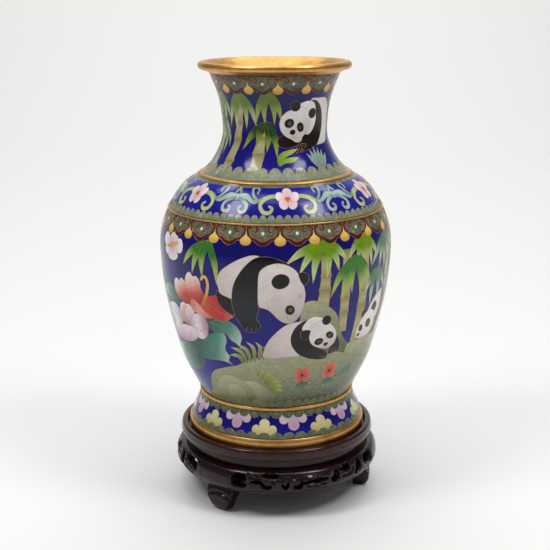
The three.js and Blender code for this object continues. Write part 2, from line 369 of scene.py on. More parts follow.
# Openings of the pierced scrollwork, round the middle of an apron
APRON_OPENINGS = [
    [(-59.8, 27.5), (-58.8, 24.2), (-54.7, 23), (-49.6, 24), (-47.8, 27.6), (-49.8, 31.6), (-54.8, 32.8),
     (-58.8, 31)],
    [(-46, 27.6), (-39.4, 26.2), (-36.8, 23.6), (-32.8, 23.2), (-31.6, 26.4), (-34, 28.4), (-41.4, 29)],
    [(-37.7, 31.4), (-32.3, 30.6), (-27.3, 31), (-27.3, 32.8), (-37.3, 33)],
    [(-24.5, 25.4), (-22.3, 23), (-20.1, 25.6), (-20.3, 28.2), (-24.5, 28)],
    [(-16.5, 23.6), (-11.7, 23.2), (-10.5, 27.8), (-15.9, 28)],
    [(-9.8, 26.2), (-1.2, 26.6), (7.4, 27), (7.2, 28.2), (-1.2, 28), (-9.8, 27.6)],
    [(10.4, 24.8), (16, 24.6), (16.4, 30.6), (11.6, 31.8)],
    [(17.6, 30), (22, 29.4), (26, 28.6), (26.2, 32.6), (18, 33)],
    [(31.3, 24.4), (35.3, 23.6), (39.3, 28), (37.9, 32.4), (34.3, 32.6), (32.3, 28)],
    [(42.6, 28.4), (48.4, 27.2), (55.4, 25.4), (56.4, 31), (52.4, 33), (43, 32.4)],
]
# Veins of the scrolls, cut with a gouge
APRON_GROOVES = [
    [(-60, 20.2), (-46, 20.4), (-34, 21.4), (-24, 20.2), (0, 20.8), (24, 20.2), (34, 21.4), (46, 20.4),
     (60, 20.2)],
    [(-47, 32.6), (-43.5, 30.6), (-39, 30.4)],
    [(-30.5, 29.3), (-28.6, 26), (-29.6, 22.8)],
    [(-26.2, 30), (-21, 30.6), (-13, 30), (-6, 31.4), (2, 30)],
    [(-8, 24.4), (-1, 23.8), (6.5, 24.4)],
    [(19, 26.4), (23.5, 26), (28, 26.6), (29.6, 30)],
    [(41, 25.4), (46, 24.2), (51, 22.8)],
]
LEG_BACK = [(56, 0), (56, 35)]
LEG_FACE = [
    (62.8, 0), (65.2, 1.4), (66.8, 3.6), (67.6, 6), (67.8, 9), (67.3, 12), (66.2, 15), (65.5, 16.8),
    (67.4, 17.6),
] + BULGE[1:]
LEG_SIDE = [(5.6, 0, 1), (6.3, 2), (8.6, 6.5), (11.2, 11), (11.89, 16), (11.89, 18.5, 1), (11.89, 35, 1)]
LEG_OUTLINE = LEG_SIDE + [(-x, *rest) for x, *rest in reversed(LEG_SIDE)]
LEG_GROOVES = [
    [(-9.6, 10.6), (-6, 12.4), (0, 13.2), (6, 12.4), (9.6, 10.6)],
]
LEG_ANGLES = (-37, 83, 203)
for number, angle in enumerate(LEG_ANGLES, 1):
    apron = carved_board(
        f"apron_{number}", angle + 60, APRON_OUTLINE, APRON_OPENINGS, APRON_GROOVES, BULGE, APRON_BACK,
        dark_wood, APRON_HALF - 0.1,
    )
    leg = carved_board(
        f"leg_{number}", angle, LEG_OUTLINE, [], LEG_GROOVES, LEG_FACE, LEG_BACK, dark_wood, 11.8,
    )
    for piece, node in ((apron, f"stand_apron_{number}"), (leg, f"stand_leg_{number}")):
        finish_mesh(piece)
        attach(piece, "stand")
        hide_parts(node)
    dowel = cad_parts[f"stand_dowel_{number}"]
    for place in dowel.material_slots:
        place.material = dark_wood

# ---- Stand: girdle, top ring and panel ----
# Turned on a lathe from the same wood: the girdle, whose thin disc lies over the legs and whose
# hoop backs the aprons, the panel under the vase, and the top ring that keeps it from sliding off.


def turned(name, profile, material, sides=160):
    """Turns a closed profile of radius and height; a third value rounds that corner."""
    line = []
    count = len(profile)
    for i, (r, z, *ease) in enumerate(profile):
        here = np.array((r, z), float)
        if not ease:
            line.append(here)
            continue
        ends = []
        for j in (i - 1, (i + 1) % count):
            away = np.array(profile[j][:2], float) - here
            length = np.linalg.norm(away)
            ends.append(here + away * min(ease[0], length * 0.48) / length)
        for t in np.linspace(0, 1, 6):
            line.append((1 - t) ** 2 * ends[0] + 2 * t * (1 - t) * here + t**2 * ends[1])
    points, rings = [], []
    for r, z in line:
        spots = 1 if r < 1e-6 else sides
        rings.append(range(len(points), len(points) + spots))
        for k in range(spots):
            a = 2 * math.pi * k / sides
            points.append((r * math.sin(a), -r * math.cos(a), z))
    faces = []
    for low, high in zip(rings, rings[1:] + rings[:1]):
        if len(low) == len(high) == 1:
            continue
        for k in range(sides):
            n = (k + 1) % sides
            corners = [low[k % len(low)], low[n % len(low)], high[n % len(high)], high[k % len(high)]]
            faces.append(tuple(dict.fromkeys(corners)))
    piece = new_piece(name, points, faces, material)
    finish_mesh(piece)
    return piece


red_wood = lacquered_wood("red hardwood, gloss lacquer", ("#220a0b", "#381414"), "#5c2c22", 0.1)
for name, node, wood, slot, profile in (
    ("girdle", "stand_waist", dark_wood, "dark_wood", [
        (53.2, 15.6, 0.5), (55.4, 15.6, 0.5), (55.4, 35.3, 0.3), (64.2, 35.3, 0.4), (64.2, 39.8, 0.5),
        (66.8, 40.3, 0.5), (66.8, 41.7, 0.3), (53.2, 41.7, 0.4)]),
    ("panel", "stand_panel", red_wood, "red_wood", [
        (0, 43.5), (62.9, 43.5, 0.4), (62.9, 45.7, 0.4), (0, 45.7)]),
    ("top_ring", "stand_ring", red_wood, "red_wood", [
        (60, 42), (67.7, 42, 0.6), (68.3, 44, 1), (67.6, 48.2, 0.8), (66.5, 49.2, 0.8), (64.1, 49.2, 0.6),
        (63.2, 48.3, 0.5), (63.2, 43.2), (60, 43.2)]),
):
    piece = turned(name, profile, wood)
    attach(piece, "stand")
    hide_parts(node)

# ---- Vase: copper body, floor, base and inner enamel ----
# Four sections spun and hammered from sheet copper and brazed at their seams, with a floor at
# the waist and a base inside the foot. All of it is under enamel, so the frame's own pieces stay.

copper, tree, shader = new_material("hammered sheet copper")
place = add_node(tree, "ShaderNodeTexCoord").outputs["Object"]
dents = add_node(tree, "ShaderNodeTexVoronoi", {"Vector": place, "Scale": 160.0}, feature="SMOOTH_F1")
bump = add_node(
    tree, "ShaderNodeBump", {"Strength": 0.3, "Distance": 0.0004, "Height": dents.outputs["Distance"]}
)
tree.links.new(bump.outputs["Normal"], shader.inputs["Normal"])
shader.inputs["Base Color"].default_value = (*tint("#b4684a"), 1)
shader.inputs["Metallic"].default_value = 1
shader.inputs["Roughness"].default_value = 0.42
for node in ("foot_shell", "belly_shell", "shoulder_shell", "neck_shell", "floor_plate", "base_plate"):
    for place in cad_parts[node].material_slots:
        place.material = copper

# Counter-enamel: one plain turquoise glaze, brushed on by hand, so it pools and thins.
lining_glaze, tree, shader = new_material("turquoise counter-enamel")
place = add_node(tree, "ShaderNodeTexCoord").outputs["Object"]
pools = add_node(tree, "ShaderNodeTexNoise", {"Vector": place, "Scale": 55.0, "Detail": 4.0})
ramp = add_ramp(tree, pools.outputs["Fac"], ((0.3, "#1d6f8c"), (0.72, "#4aa3b4")))
tree.links.new(ramp.outputs["Color"], shader.inputs["Base Color"])
bump = add_node(
    tree, "ShaderNodeBump", {"Strength": 0.4, "Distance": 0.0005, "Height": pools.outputs["Fac"]}
)
tree.links.new(bump.outputs["Normal"], shader.inputs["Normal"])
shader.inputs["Roughness"].default_value = 0.18

# Outer lines of the finished vase, as radius and height
FOOT_LINE = [(61.1, 52), (59.7, 57), (56.2, 64.5), (53.6, 71.2), (52.9, 74)]
BODY_LINE = [
    (52, 72.4), (57, 82), (65.3, 99.2), (71.9, 122), (77.2, 148), (79.5, 176), (78, 191), (73.2, 203.6),
    (67.9, 212.4), (61.6, 219.8), (50.4, 227),
]
NECK_LINE = [(51.2, 226), (43.4, 234), (36.9, 246.4), (35.2, 257), (37.3, 275.5), (43.4, 292.2),
             (44.6, 294.4)]
LINING_DEEP = 2.4  # under the outer line
LINING_THICK = 0.6
ENAMEL_THICK = 0.9


def wall(line, depth, low, high, step=2.5):
    """The line sunk by a depth, between two heights, as radius and height."""
    curve = smooth_line(line)
    heights = np.linspace(low, high, max(2, round((high - low) / step) + 1))
    return [(np.interp(z, curve[:, 1], curve[:, 0]) - depth, z) for z in heights]


def smooth_line(line):
    """A close run of points along the even spline through a vase line."""
    pts = np.array(line, float)
    run = []
    for i in range(len(pts) - 1):
        a, b = pts[i], pts[i + 1]
        pull_a = (b - pts[max(i - 1, 0)]) / 2
        pull_b = (pts[min(i + 2, len(pts) - 1)] - a) / 2
        t = np.linspace(0, 1, 24, endpoint=False)[:, None]
        run.append(
            (2 * t**3 - 3 * t**2 + 1) * a + (t**3 - 2 * t**2 + t) * pull_a
            + (3 * t**2 - 2 * t**3) * b + (t**3 - t**2) * pull_b
        )
    return np.concatenate(run + [pts[-1:]])


BELLY_TOP = 226.2
FLOOR_Z = 74.75
NECK_LOW, NECK_HIGH = 226.55, 289
for name, node, profile in (
    ("inner_enamel", "body_lining",
     [(0, FLOOR_Z)] + wall(BODY_LINE, LINING_DEEP, FLOOR_Z, BELLY_TOP)
     + wall(BODY_LINE, LINING_DEEP + LINING_THICK, FLOOR_Z + LINING_THICK, BELLY_TOP)[::-1]
     + [(0, FLOOR_Z + LINING_THICK)]),
    ("neck_inner_enamel", "neck_lining",
     wall(NECK_LINE, LINING_DEEP, NECK_LOW, NECK_HIGH)
     + wall(NECK_LINE, LINING_DEEP + LINING_THICK, NECK_LOW, NECK_HIGH)[::-1]),
    ("base_glaze", "base_enamel", [(0, 55.3), (55.4, 55.3, 0.3), (55.4, 55.9, 0.2), (0, 55.9)]),
):
    piece = turned(name, profile, lining_glaze, sides=96)
    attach(piece, "vase")
    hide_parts(node)

# ---- Vase: gilt mountings ----
# Spun brass rings soldered over the seams, the band round the foot, and the rolled lip with its
# flaring throat. All are gilt and buffed, with darker lines where polish and dust collect.

gilt, tree, shader = new_material("buffed gilt brass")
place = add_node(tree, "ShaderNodeTexCoord").outputs["Object"]
spun = add_node(tree, "ShaderNodeMapping", {"Vector": place, "Scale": (1, 1, 9)})
lines = add_node(
    tree, "ShaderNodeTexNoise", {"Vector": spun.outputs["Vector"], "Scale": 260.0, "Detail": 4.0}
)
tarnish = add_node(
    tree, "ShaderNodeTexNoise", {"Vector": place, "Scale": 75.0, "Detail": 5.0, "Roughness": 0.7}
)
ramp = add_ramp(tree, tarnish.outputs["Fac"], ((0.3, "#b57d3e"), (0.56, "#d6a462")))
tree.links.new(ramp.outputs["Color"], shader.inputs["Base Color"])
rough = add_node(
    tree, "ShaderNodeMapRange",
    {"Value": lines.outputs["Fac"], "From Min": 0.3, "From Max": 0.7, "To Min": 0.3, "To Max": 0.44},
)
tree.links.new(rough.outputs[0], shader.inputs["Roughness"])
bump = add_node(
    tree, "ShaderNodeBump", {"Strength": 0.25, "Distance": 0.0001, "Height": lines.outputs["Fac"]}
)
tree.links.new(bump.outputs["Normal"], shader.inputs["Normal"])
shader.inputs["Metallic"].default_value = 1


def seam_ring(radius, z, height, proud, root_low, root_high):
    """A half-round moulding over a seam."""
    low, high = z - height / 2, z + height / 2
    return [
        (root_low, low), (radius + proud * 0.3, low, 0.2), (radius + proud, z - height * 0.3, 0.5),
        (radius + proud, z + height * 0.3, 0.5), (radius + proud * 0.3, high, 0.2), (root_high, high),
    ]


LIP_R, LIP_Z, BEAD_R = 48.9, 298, 2.7
lip = [(44.6, 293.5, 0.3)]
for degrees in range(-110, 121, 10):
    a = math.radians(degrees)
    lip.append((LIP_R + BEAD_R * math.cos(a), LIP_Z + BEAD_R * math.sin(a)))
lip += [(44.6, 297.6), (41.6, 295, 1.2), (38.8, 289.4, 0.3), (39.5, 289.4, 0.2), (41.2, 293.5, 0.4)]
for name, node, profile in (
    ("foot_band", "foot_ring", [
        (57.8, 46), (60.9, 46, 0.4), (61.9, 47.2, 0.6), (61.9, 52.6, 1.2), (60.7, 54.65, 0.5),
        (57.8, 54.65)]),
    ("waist_moulding", "waist_ring", seam_ring(53.2, 73.4, 2.6, 1.1, 52.5, 52.1)),
    ("shoulder_moulding", "shoulder_ring", seam_ring(73.2, 203.6, 1.2, 0.6, 72.6, 72.3)),
    ("neck_moulding", "neck_ring", [
        (51, 225.4), (52.9, 225.4, 0.2), (52.9, 226.1, 0.5), (51.4, 227.1, 0.5), (50.2, 227.3, 0.2),
        (49.6, 227.3)]),
    ("lip", "mouth_rim", lip),
):
    piece = turned(name, profile, gilt)
    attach(piece, "vase")
    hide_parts(node)

# ---- Enamel pictures: how a section is drawn, wired and filled ----
# Flat copper wire is bent to the drawing and soldered to the copper on edge, ground glass is
# laid between the wires colour by colour, fired, and the whole is stoned flat, polished and gilt.


def fade(colours, start, end):
    """Glaze that goes from colour to colour along a line, laid wet so that they blend."""
    stops = np.array([tint(c) for c in colours])
    start, along = np.array(start, float), np.array(end, float) - np.array(start, float)

    def glaze(p):
        t = np.clip((p - start) @ along / (along @ along), 0, 1) * (len(stops) - 1)
        return np.stack([np.interp(t, range(len(stops)), stops[:, k]) for k in range(3)], 1)
    return glaze


def halo(colours, centre, reach):
    """Glaze that goes from colour to colour outwards from a centre."""
    stops = np.array([tint(c) for c in colours])

    def glaze(p):
        t = np.clip(np.hypot(*(p - np.array(centre)).T) / reach, 0, 1) * (len(stops) - 1)
        return np.stack([np.interp(t, range(len(stops)), stops[:, k]) for k in range(3)], 1)
    return glaze


def oval(x, z, wide, tall, lean=0):
    """An oval outline; lean is in degrees."""
    lean = math.radians(lean)
    count = max(8, round(3 * (wide + tall)))
    a = np.arange(count) * 2 * math.pi / count
    u, v = wide * np.cos(a), tall * np.sin(a)
    c, s = math.cos(lean), math.sin(lean)
    return np.column_stack([x + u * c - v * s, z + u * s + v * c])


def band(points, widths):
    """The outline of a curved stroke along the points, its width changing evenly through widths."""
    line = bent(points, closed=False, step=1)
    steps = np.diff(line, axis=0)
    run = np.concatenate([[0], np.cumsum(np.hypot(*steps.T))])
    width = np.interp(run / run[-1], np.linspace(0, 1, len(widths)), widths)[:, None]
    along = np.gradient(line, axis=0)
    side = np.column_stack([-along[:, 1], along[:, 0]]) / np.hypot(*along.T)[:, None]
    left, right = line + side * width / 2, line - side * width / 2
    ends = []
    for place, heading, size in ((line[-1], along[-1], widths[-1]), (line[0], -along[0], widths[0])):
        heading = heading / np.linalg.norm(heading)
        tip = size / 2 if size > 0.5 else 0.15
        ends.append((place + heading * tip)[None])
    first = 0 if widths[0] > 0.3 else 1
    last = len(line) if widths[-1] > 0.3 else len(line) - 1
    return np.concatenate([right[first:last], ends[0], left[first:last][::-1], ends[1]])


class Drawing:
    """Cells and loose wires on a flat sheet: x runs round the vase and z up it, in millimetres."""

    def __init__(self, cells=None, wires=None, turn=np.eye(3)):
        self.cells = cells if cells is not None else []
        self.wires = wires if wires is not None else []
        self.turn = turn

    def at(self, x, z, size=1.0, flip=False, lean=0):
        """The same sheet, with what is drawn next moved, scaled, mirrored or leant."""
        c, s = size * math.cos(math.radians(lean)), size * math.sin(math.radians(lean))
        m = -1 if flip else 1
        move = np.array([[m * c, -s, x], [m * s, c, z], [0, 0, 1]])
        return Drawing(self.cells, self.wires, self.turn @ move)

    def laid(self, points):
        return np.asarray(points, float) @ self.turn[:2, :2].T + self.turn[:2, 2]

    def cell(self, outline, glaze, mottled=0.0, wired=True):
        """A wired cell filled with one glaze; an outline given as tuples is bent smooth."""
        if isinstance(outline, list):
            outline = bent(outline, step=1)
        if isinstance(glaze, str):
            glaze = fade([glaze, glaze], (0, 0), (1, 0))
        self.cells.append((self.laid(outline), glaze, np.linalg.inv(self.turn), mottled, wired))

    def wire(self, points):
        """A loose wire laid inside the cells drawn so far."""
        if isinstance(points, list):
            points = bent(points, closed=False, step=1)
        self.wires.append((self.laid(points), len(self.cells)))


def inside(points, outline):
    """Which points lie inside an outline."""
    x, z = points[:, 0][:, None], points[:, 1][:, None]
    a, b = outline, np.roll(outline, -1, 0)
    crosses = (a[:, 1] > z) != (b[:, 1] > z)
    rise = np.where(b[:, 1] == a[:, 1], 1e-9, b[:, 1] - a[:, 1])
    return np.sum(crosses & (x < (b[:, 0] - a[:, 0]) * (z - a[:, 1]) / rise + a[:, 0]), 1) % 2 == 1


def top_cell(points, outlines):
    """The topmost outline over each point."""
    top = np.zeros(len(points), int)
    for number, outline in enumerate(outlines):
        low, high = outline.min(0), outline.max(0)
        near = np.flatnonzero(np.all((points >= low) & (points <= high), 1))
        if len(near):
            top[near[inside(points[near], outline)]] = number
    return top


def turns_round(points, reach):
    """0, and the turn that brings what hangs over an edge of the sheet in at the other edge."""
    past_left, past_right = points[:, 0].min() < -reach, points[:, 0].max() > reach
    return [0] + [2 * reach] * int(past_left) + [-2 * reach] * int(past_right)


# Gilt copper wire: only its top edge is polished bare, and the glass beside it keeps it dark
wire_metal, tree, shader = new_material("gilt copper wire")
place = add_node(tree, "ShaderNodeTexCoord").outputs["Object"]
wear_and_highlight = add_node(tree, "ShaderNodeTexNoise", {"Vector": place, "Scale": 160.0, "Detail": 3.0})
ramp = add_ramp(tree, wear_and_highlight.outputs["Fac"], ((0.35, "#8a6a3c"), (0.7, "#d0aa6c")))
tree.links.new(ramp.outputs["Color"], shader.inputs["Base Color"])
shader.inputs["Metallic"].default_value = 1
shader.inputs["Roughness"].default_value = 0.3

# Wires: swept by one Geometry Nodes tree along the lines between the cells
sweep = bpy.data.node_groups.new("lay wire", "GeometryNodeTree")
wire_inputs = {}
sweep.interface.new_socket(name="Lines", in_out="INPUT", socket_type="NodeSocketGeometry")
for label, kind, value in (
    ("Wire radius", "NodeSocketFloat", 0.00012),
    ("Sides", "NodeSocketInt", 5),
    ("Metal", "NodeSocketMaterial", None),
):
    socket = sweep.interface.new_socket(name=label, in_out="INPUT", socket_type=kind)
    if value is not None:
        socket.default_value = value
    wire_inputs[label] = socket.identifier
sweep.interface.new_socket(name="Wires", in_out="OUTPUT", socket_type="NodeSocketGeometry")
given = add_node(sweep, "NodeGroupInput")
curve = add_node(sweep, "GeometryNodeMeshToCurve", {"Mesh": given.outputs["Lines"]})
ring = add_node(
    sweep, "GeometryNodeCurvePrimitiveCircle",
    {"Radius": given.outputs["Wire radius"], "Resolution": given.outputs["Sides"]},
)
swept = add_node(
    sweep, "GeometryNodeCurveToMesh",
    {"Curve": curve.outputs["Curve"], "Profile Curve": ring.outputs["Curve"]},
)
real = add_node(sweep, "GeometryNodeRealizeInstances", {"Geometry": swept.outputs["Mesh"]})
metal = add_node(
    sweep, "GeometryNodeSetMaterial",
    {"Geometry": real.outputs["Geometry"], "Material": given.outputs["Metal"]},
)
add_node(sweep, "NodeGroupOutput", {"Wires": metal.outputs["Geometry"]})


def swept_wires(name, lines):
    """Turns an object of loose edges into a plain mesh of wires."""
    modifier = lines.modifiers.new("lay wire", "NODES")
    modifier.node_group = sweep
    modifier[wire_inputs["Metal"]] = wire_metal
    bpy.context.view_layer.update()
    graph = bpy.context.evaluated_depsgraph_get()
    mesh = bpy.data.meshes.new_from_object(lines.evaluated_get(graph))
    lines.modifiers.remove(modifier)
    bpy.data.objects.remove(lines)
    mesh.name = name
    piece = bpy.data.objects.new(name, mesh)
    bpy.context.scene.collection.objects.link(piece)
    mesh.polygons.foreach_set("use_smooth", [True] * len(mesh.polygons))
    return piece


# Polished enamel: glass ground to powder and fired at about 800 degrees, so the colour is finely
# clouded, the stoned face ripples a little under its gloss, and burst bubbles leave dark pits.
enamel, tree, shader = new_material("fired and polished enamel")
place = add_node(tree, "ShaderNodeTexCoord").outputs["Object"]
glaze = add_node(tree, "ShaderNodeAttribute", attribute_name="glaze")
mottle = add_node(tree, "ShaderNodeAttribute", attribute_name="mottle")
powder = add_node(
    tree, "ShaderNodeTexNoise", {"Vector": place, "Scale": 900.0, "Detail": 4.0, "Roughness": 0.7}
)
cloud = add_node(tree, "ShaderNodeTexNoise", {"Vector": place, "Scale": 110.0, "Detail": 3.0})
grey = add_node(
    tree, "ShaderNodeMath", {0: powder.outputs["Fac"], 1: cloud.outputs["Fac"]}, operation="ADD"
)
grey = add_node(
    tree, "ShaderNodeMapRange",
    {"Value": grey.outputs[0], "From Min": 0.6, "From Max": 1.4, "To Min": 0.86, "To Max": 1.14},
)
grained = add_node(
    tree, "ShaderNodeMix",
    {MIX_FACTOR: 1.0, MIX_A: glaze.outputs["Color"], MIX_B: grey.outputs[0]},
    data_type="RGBA", blend_type="MULTIPLY",
)
# Mottled green is fired from coarse grains of several glazes, 1 to 3 mm across when they have run
grains = add_node(tree, "ShaderNodeTexVoronoi", {"Vector": place, "Scale": 620.0}, feature="F1")
ramp = add_ramp(
    tree, grains.outputs["Color"],
    (
        (0, "#3c5142"), (0.3, "#66795c"), (0.5, "#868e6e"), (0.68, "#4a6152"), (0.84, "#6f6050"),
        (0.93, "#cdd0b8"),
    ),
)
ramp.color_ramp.interpolation = "CONSTANT"
amount = add_node(tree, "ShaderNodeMath", {0: mottle.outputs["Fac"], 1: 0.55}, operation="MULTIPLY")
mixed = add_node(
    tree, "ShaderNodeMix",
    {MIX_FACTOR: amount.outputs[0], MIX_A: grained.outputs[MIX_RESULT], MIX_B: ramp.outputs["Color"]},
    data_type="RGBA",
)
bubbles = add_node(tree, "ShaderNodeTexVoronoi", {"Vector": place, "Scale": 210.0})
pit = add_node(
    tree, "ShaderNodeMapRange",
    {
        "Value": bubbles.outputs["Distance"], "From Min": 0.03, "From Max": 0.075,
        "To Min": 1.0, "To Max": 0.0,
    },
)
pitted = add_node(
    tree, "ShaderNodeMix",
    {MIX_FACTOR: pit.outputs[0], MIX_A: mixed.outputs[MIX_RESULT], MIX_B: (*tint("#14120f"), 1)},
    data_type="RGBA",
)
tree.links.new(pitted.outputs[MIX_RESULT], shader.inputs["Base Color"])
ripple = add_node(tree, "ShaderNodeTexNoise", {"Vector": place, "Scale": 70.0, "Detail": 2.0})
bump = add_node(
    tree, "ShaderNodeBump", {"Strength": 0.25, "Distance": 0.0006, "Height": ripple.outputs["Fac"]}
)
dip = add_node(
    tree, "ShaderNodeBump",
    {"Strength": 0.5, "Distance": 0.0001, "Height": pit.outputs[0], "Normal": bump.outputs["Normal"]},
    invert=True,
)
tree.links.new(dip.outputs["Normal"], shader.inputs["Normal"])
rough = add_node(
    tree, "ShaderNodeMapRange",
    {"Value": cloud.outputs["Fac"], "From Min": 0.3, "From Max": 0.7, "To Min": 0.09, "To Max": 0.2},
)
tree.links.new(rough.outputs[0], shader.inputs["Roughness"])
shader.inputs["IOR"].default_value = 1.54
shader.inputs["Specular IOR Level"].default_value = 0.3

WIRE_SUNK = 0.05  # how far a wire's middle lies under the polished surface
ROUND_SPOTS = 240  # points round a section's rims
SEAM_REACH = 0.02  # points this close on the two upright edges are one point


def curls(drawing, outlines, owner, reach, low, high, seed):
    """Small loose curls of wire that hold the mottled glazes in place."""
    chance = np.random.default_rng(seed)
    spots = []
    for row, z in enumerate(np.arange(low + 1, high, CURL_APART * 0.86)):
        for x in np.arange(-reach + row % 2 * CURL_APART / 2, reach, CURL_APART):
            spots.append((x, z) + tuple(chance.uniform(-0.3, 0.3, 2)))
    spots = np.array(spots)
    spots = spots[:, :2] + spots[:, 2:]
    turn = np.linspace(0, 1, 9) * 2 * math.pi * 1.15
    start = chance.uniform(0, 2 * math.pi, len(spots))[:, None]
    hand = chance.choice([-1, 1], len(spots))[:, None]
    grow = np.linspace(0.3, CURL_R, 9)
    x = spots[:, :1] + grow * np.cos(start + hand * turn)
    z = spots[:, 1:] + grow * np.sin(start + hand * turn)
    runs = np.stack([x, z], 2)
    over = owner[top_cell(runs.reshape(-1, 2), outlines)].reshape(len(runs), -1)
    whole = (over == over[:, :1]).all(1)
    on_top = len(drawing.cells)
    return [(run, on_top) for run, k, w in zip(runs, over[:, 0], whole) if w and drawing.cells[k][3] >= 1]


CURL_APART = 2.7
CURL_R = 0.95


def fire(name, node, drawing, line, sheet_r, low, high, spacing, seed):
    """Wires, fills and fires a drawing on a section: a piece of enamel and a piece of wires."""
    reach = math.pi * sheet_r
    across = np.linspace(-reach, reach, ROUND_SPOTS + 1)[:-1]
    up = np.linspace(low, high, max(3, round((high - low) / spacing)))[:-1]
    rim = [(x, low) for x in across] + [(reach, z) for z in up]
    rim += [(-x, high) for x in across] + [(-reach, low + high - z) for z in up]
    drawing.cells[0] = (np.array(rim), *drawing.cells[0][1:])
    outlines, owner, shift = [], [], []
    for number, (outline, *_) in enumerate(drawing.cells):
        for turn in turns_round(outline, reach) if number else [0]:
            outlines.append(outline + (turn, 0))
            owner.append(number)
            shift.append(turn)
    owner, shift = np.array(owner), np.array(shift)
    flat, triangles, top = cut_flat(outlines, spacing)
    middle = flat[triangles].mean(1)
    kept = (np.abs(middle[:, 0]) < reach) & (middle[:, 1] > low) & (middle[:, 1] < high)
    triangles, top = triangles[kept], top[kept]

    # join the sheet's two upright edges, and drop the points nothing uses
    same = np.arange(len(flat))
    left = np.flatnonzero(np.abs(flat[:, 0] + reach) < 1e-3)
    for right in np.flatnonzero(np.abs(flat[:, 0] - reach) < 1e-3):
        match = left[np.argmin(np.abs(flat[left, 1] - flat[right, 1]))]
        if abs(flat[match, 1] - flat[right, 1]) < SEAM_REACH:
            same[right] = match
    # slivers along the two edges would fold up or double once joined
    corners = np.sort(same[triangles], 1)
    _, which, times = np.unique(corners, axis=0, return_inverse=True, return_counts=True)
    sound = (times[which.ravel()] == 1) & (np.diff(corners, axis=1) > 0).all(1)
    triangles, top = triangles[sound], top[sound]
    used, index = np.unique(same[triangles], return_inverse=True)
    joined = index.reshape(-1, 3)
    curve = smooth_line(line)

    def place(points, depth):
        r = np.interp(points[:, 1], curve[:, 1], curve[:, 0]) - depth
        a = points[:, 0] / sheet_r
        return np.column_stack([r * np.sin(a), -r * np.cos(a), points[:, 1]])

    count = len(used)
    inward = [0, 2, 1]
    faces = [tuple(t) for t in joined.tolist()] + [tuple(t) for t in (joined[:, inward] + count).tolist()]
    corner_spot = [flat[triangles].reshape(-1, 2), flat[triangles[:, inward]].reshape(-1, 2)]
    corner_top = [np.repeat(top, 3), np.repeat(top, 3)]
    wired = []
    for beside in edge_table(joined.tolist()).values():
        a, b = beside[0][1]
        if len(beside) == 1:
            faces.append((b, a, a + count, b + count))
            corner_spot.append(flat[used[[b, a, a, b]]])
            corner_top.append(np.zeros(4, int))
        else:
            pair = owner[top[[beside[0][0], beside[1][0]]]]
            if pair[0] != pair[1] and drawing.cells[pair.max()][4]:
                wired.append((a, b))
    points = flat[used]
    piece = new_piece(name, np.vstack([place(points, 0), place(points, ENAMEL_THICK)]), faces, enamel)
    corner_spot, corner_top = np.concatenate(corner_spot), np.concatenate(corner_top)
    colour = np.ones((len(corner_top), 4))
    grain = np.zeros(len(corner_top))
    for number in np.unique(corner_top):
        here = corner_top == number
        _, glaze, back, mottled, _ = drawing.cells[owner[number]]
        source = corner_spot[here] - (shift[number], 0)
        colour[here, :3] = glaze(source @ back[:2, :2].T + back[:2, 2])
        grain[here] = mottled
    mesh = piece.data
    mesh.color_attributes.new("glaze", "FLOAT_COLOR", "CORNER").data.foreach_set("color", colour.ravel())
    mesh.attributes.new("mottle", "FLOAT", "CORNER").data.foreach_set("value", grain)
    mesh.polygons.foreach_set("use_smooth", [True] * len(mesh.polygons))
    slope = np.interp(points[:, 1], curve[:, 1], np.gradient(curve[:, 0], curve[:, 1]))
    a = points[:, 0] / sheet_r
    normal = np.column_stack([np.sin(a), -np.cos(a), -slope])
    normal /= np.linalg.norm(normal, axis=1)[:, None]
    mesh.normals_split_custom_set_from_vertices(np.vstack([normal, -normal]).tolist())
    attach(piece, "vase")
    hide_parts(node)

    # a loose wire is kept only where nothing drawn later lies over it
    wire_ends = sorted({v for e in wired for v in e})
    where = {v: i for i, v in enumerate(wire_ends)}
    knots = list(points[wire_ends])
    lengths = [(where[a], where[b]) for a, b in wired]
    for run, under in drawing.wires + curls(drawing, outlines, owner, reach, low, high, seed):
        for turn in turns_round(run, reach):
            moved = run + (turn, 0)
            seen = owner[top_cell(moved, outlines)] < under
            seen &= (np.abs(moved[:, 0]) < reach) & (moved[:, 1] > low) & (moved[:, 1] < high)
            start = len(knots)
            knots.extend(moved)
            shown = np.flatnonzero(seen[:-1] & seen[1:]) + start
            lengths.extend((i, i + 1) for i in shown.tolist())
    lines = new_piece(name + "_lines", place(np.array(knots), WIRE_SUNK), [], None, lengths)
    wires = swept_wires(name.replace("enamel", "wires"), lines)
    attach(wires, "vase")

# ---- Enamel of the foot ----
# A cobalt band between two rows of mottled green scales, with lilac blossoms that hang from the
# waist and cream ones that rise between them.

# cobalt glaze; its lighter lower part is a painted reflection of the pale floor
COBALT_WITH_FLOOR_REFLECTION = ["#17178e", "#0e0c76", "#090860"]  # from the bottom up
SAGE = ["#55634e", "#6c785e"]
# One scale, in half widths across and heights up
SCALE_SHAPE = [(-1, -0.2, 1), (-0.96, 0.4), (-0.55, 0.88), (0, 1), (0.55, 0.88), (0.96, 0.4), (1, -0.2, 1)]


def scales(drawing, sheet_r, count, base, height, glaze):
    """A row of round mottled scales along a base line; a negative height hangs them."""
    wide = 2 * math.pi * sheet_r / count
    for k in range(count):
        x = (k + 0.5) * wide - math.pi * sheet_r
        half = wide / 2
        drawing.cell(
            [(x + half * across, base + height * up, *sharp) for across, up, *sharp in SCALE_SHAPE],
            glaze, mottled=0.8,
        )
        for lean in (-0.55, -0.2, 0.2, 0.55):
            root, tip = (x + half * lean * 0.3, base + height * 0.1), (x + half * lean, base + height * 0.72)
            drawing.wire([root, tip])


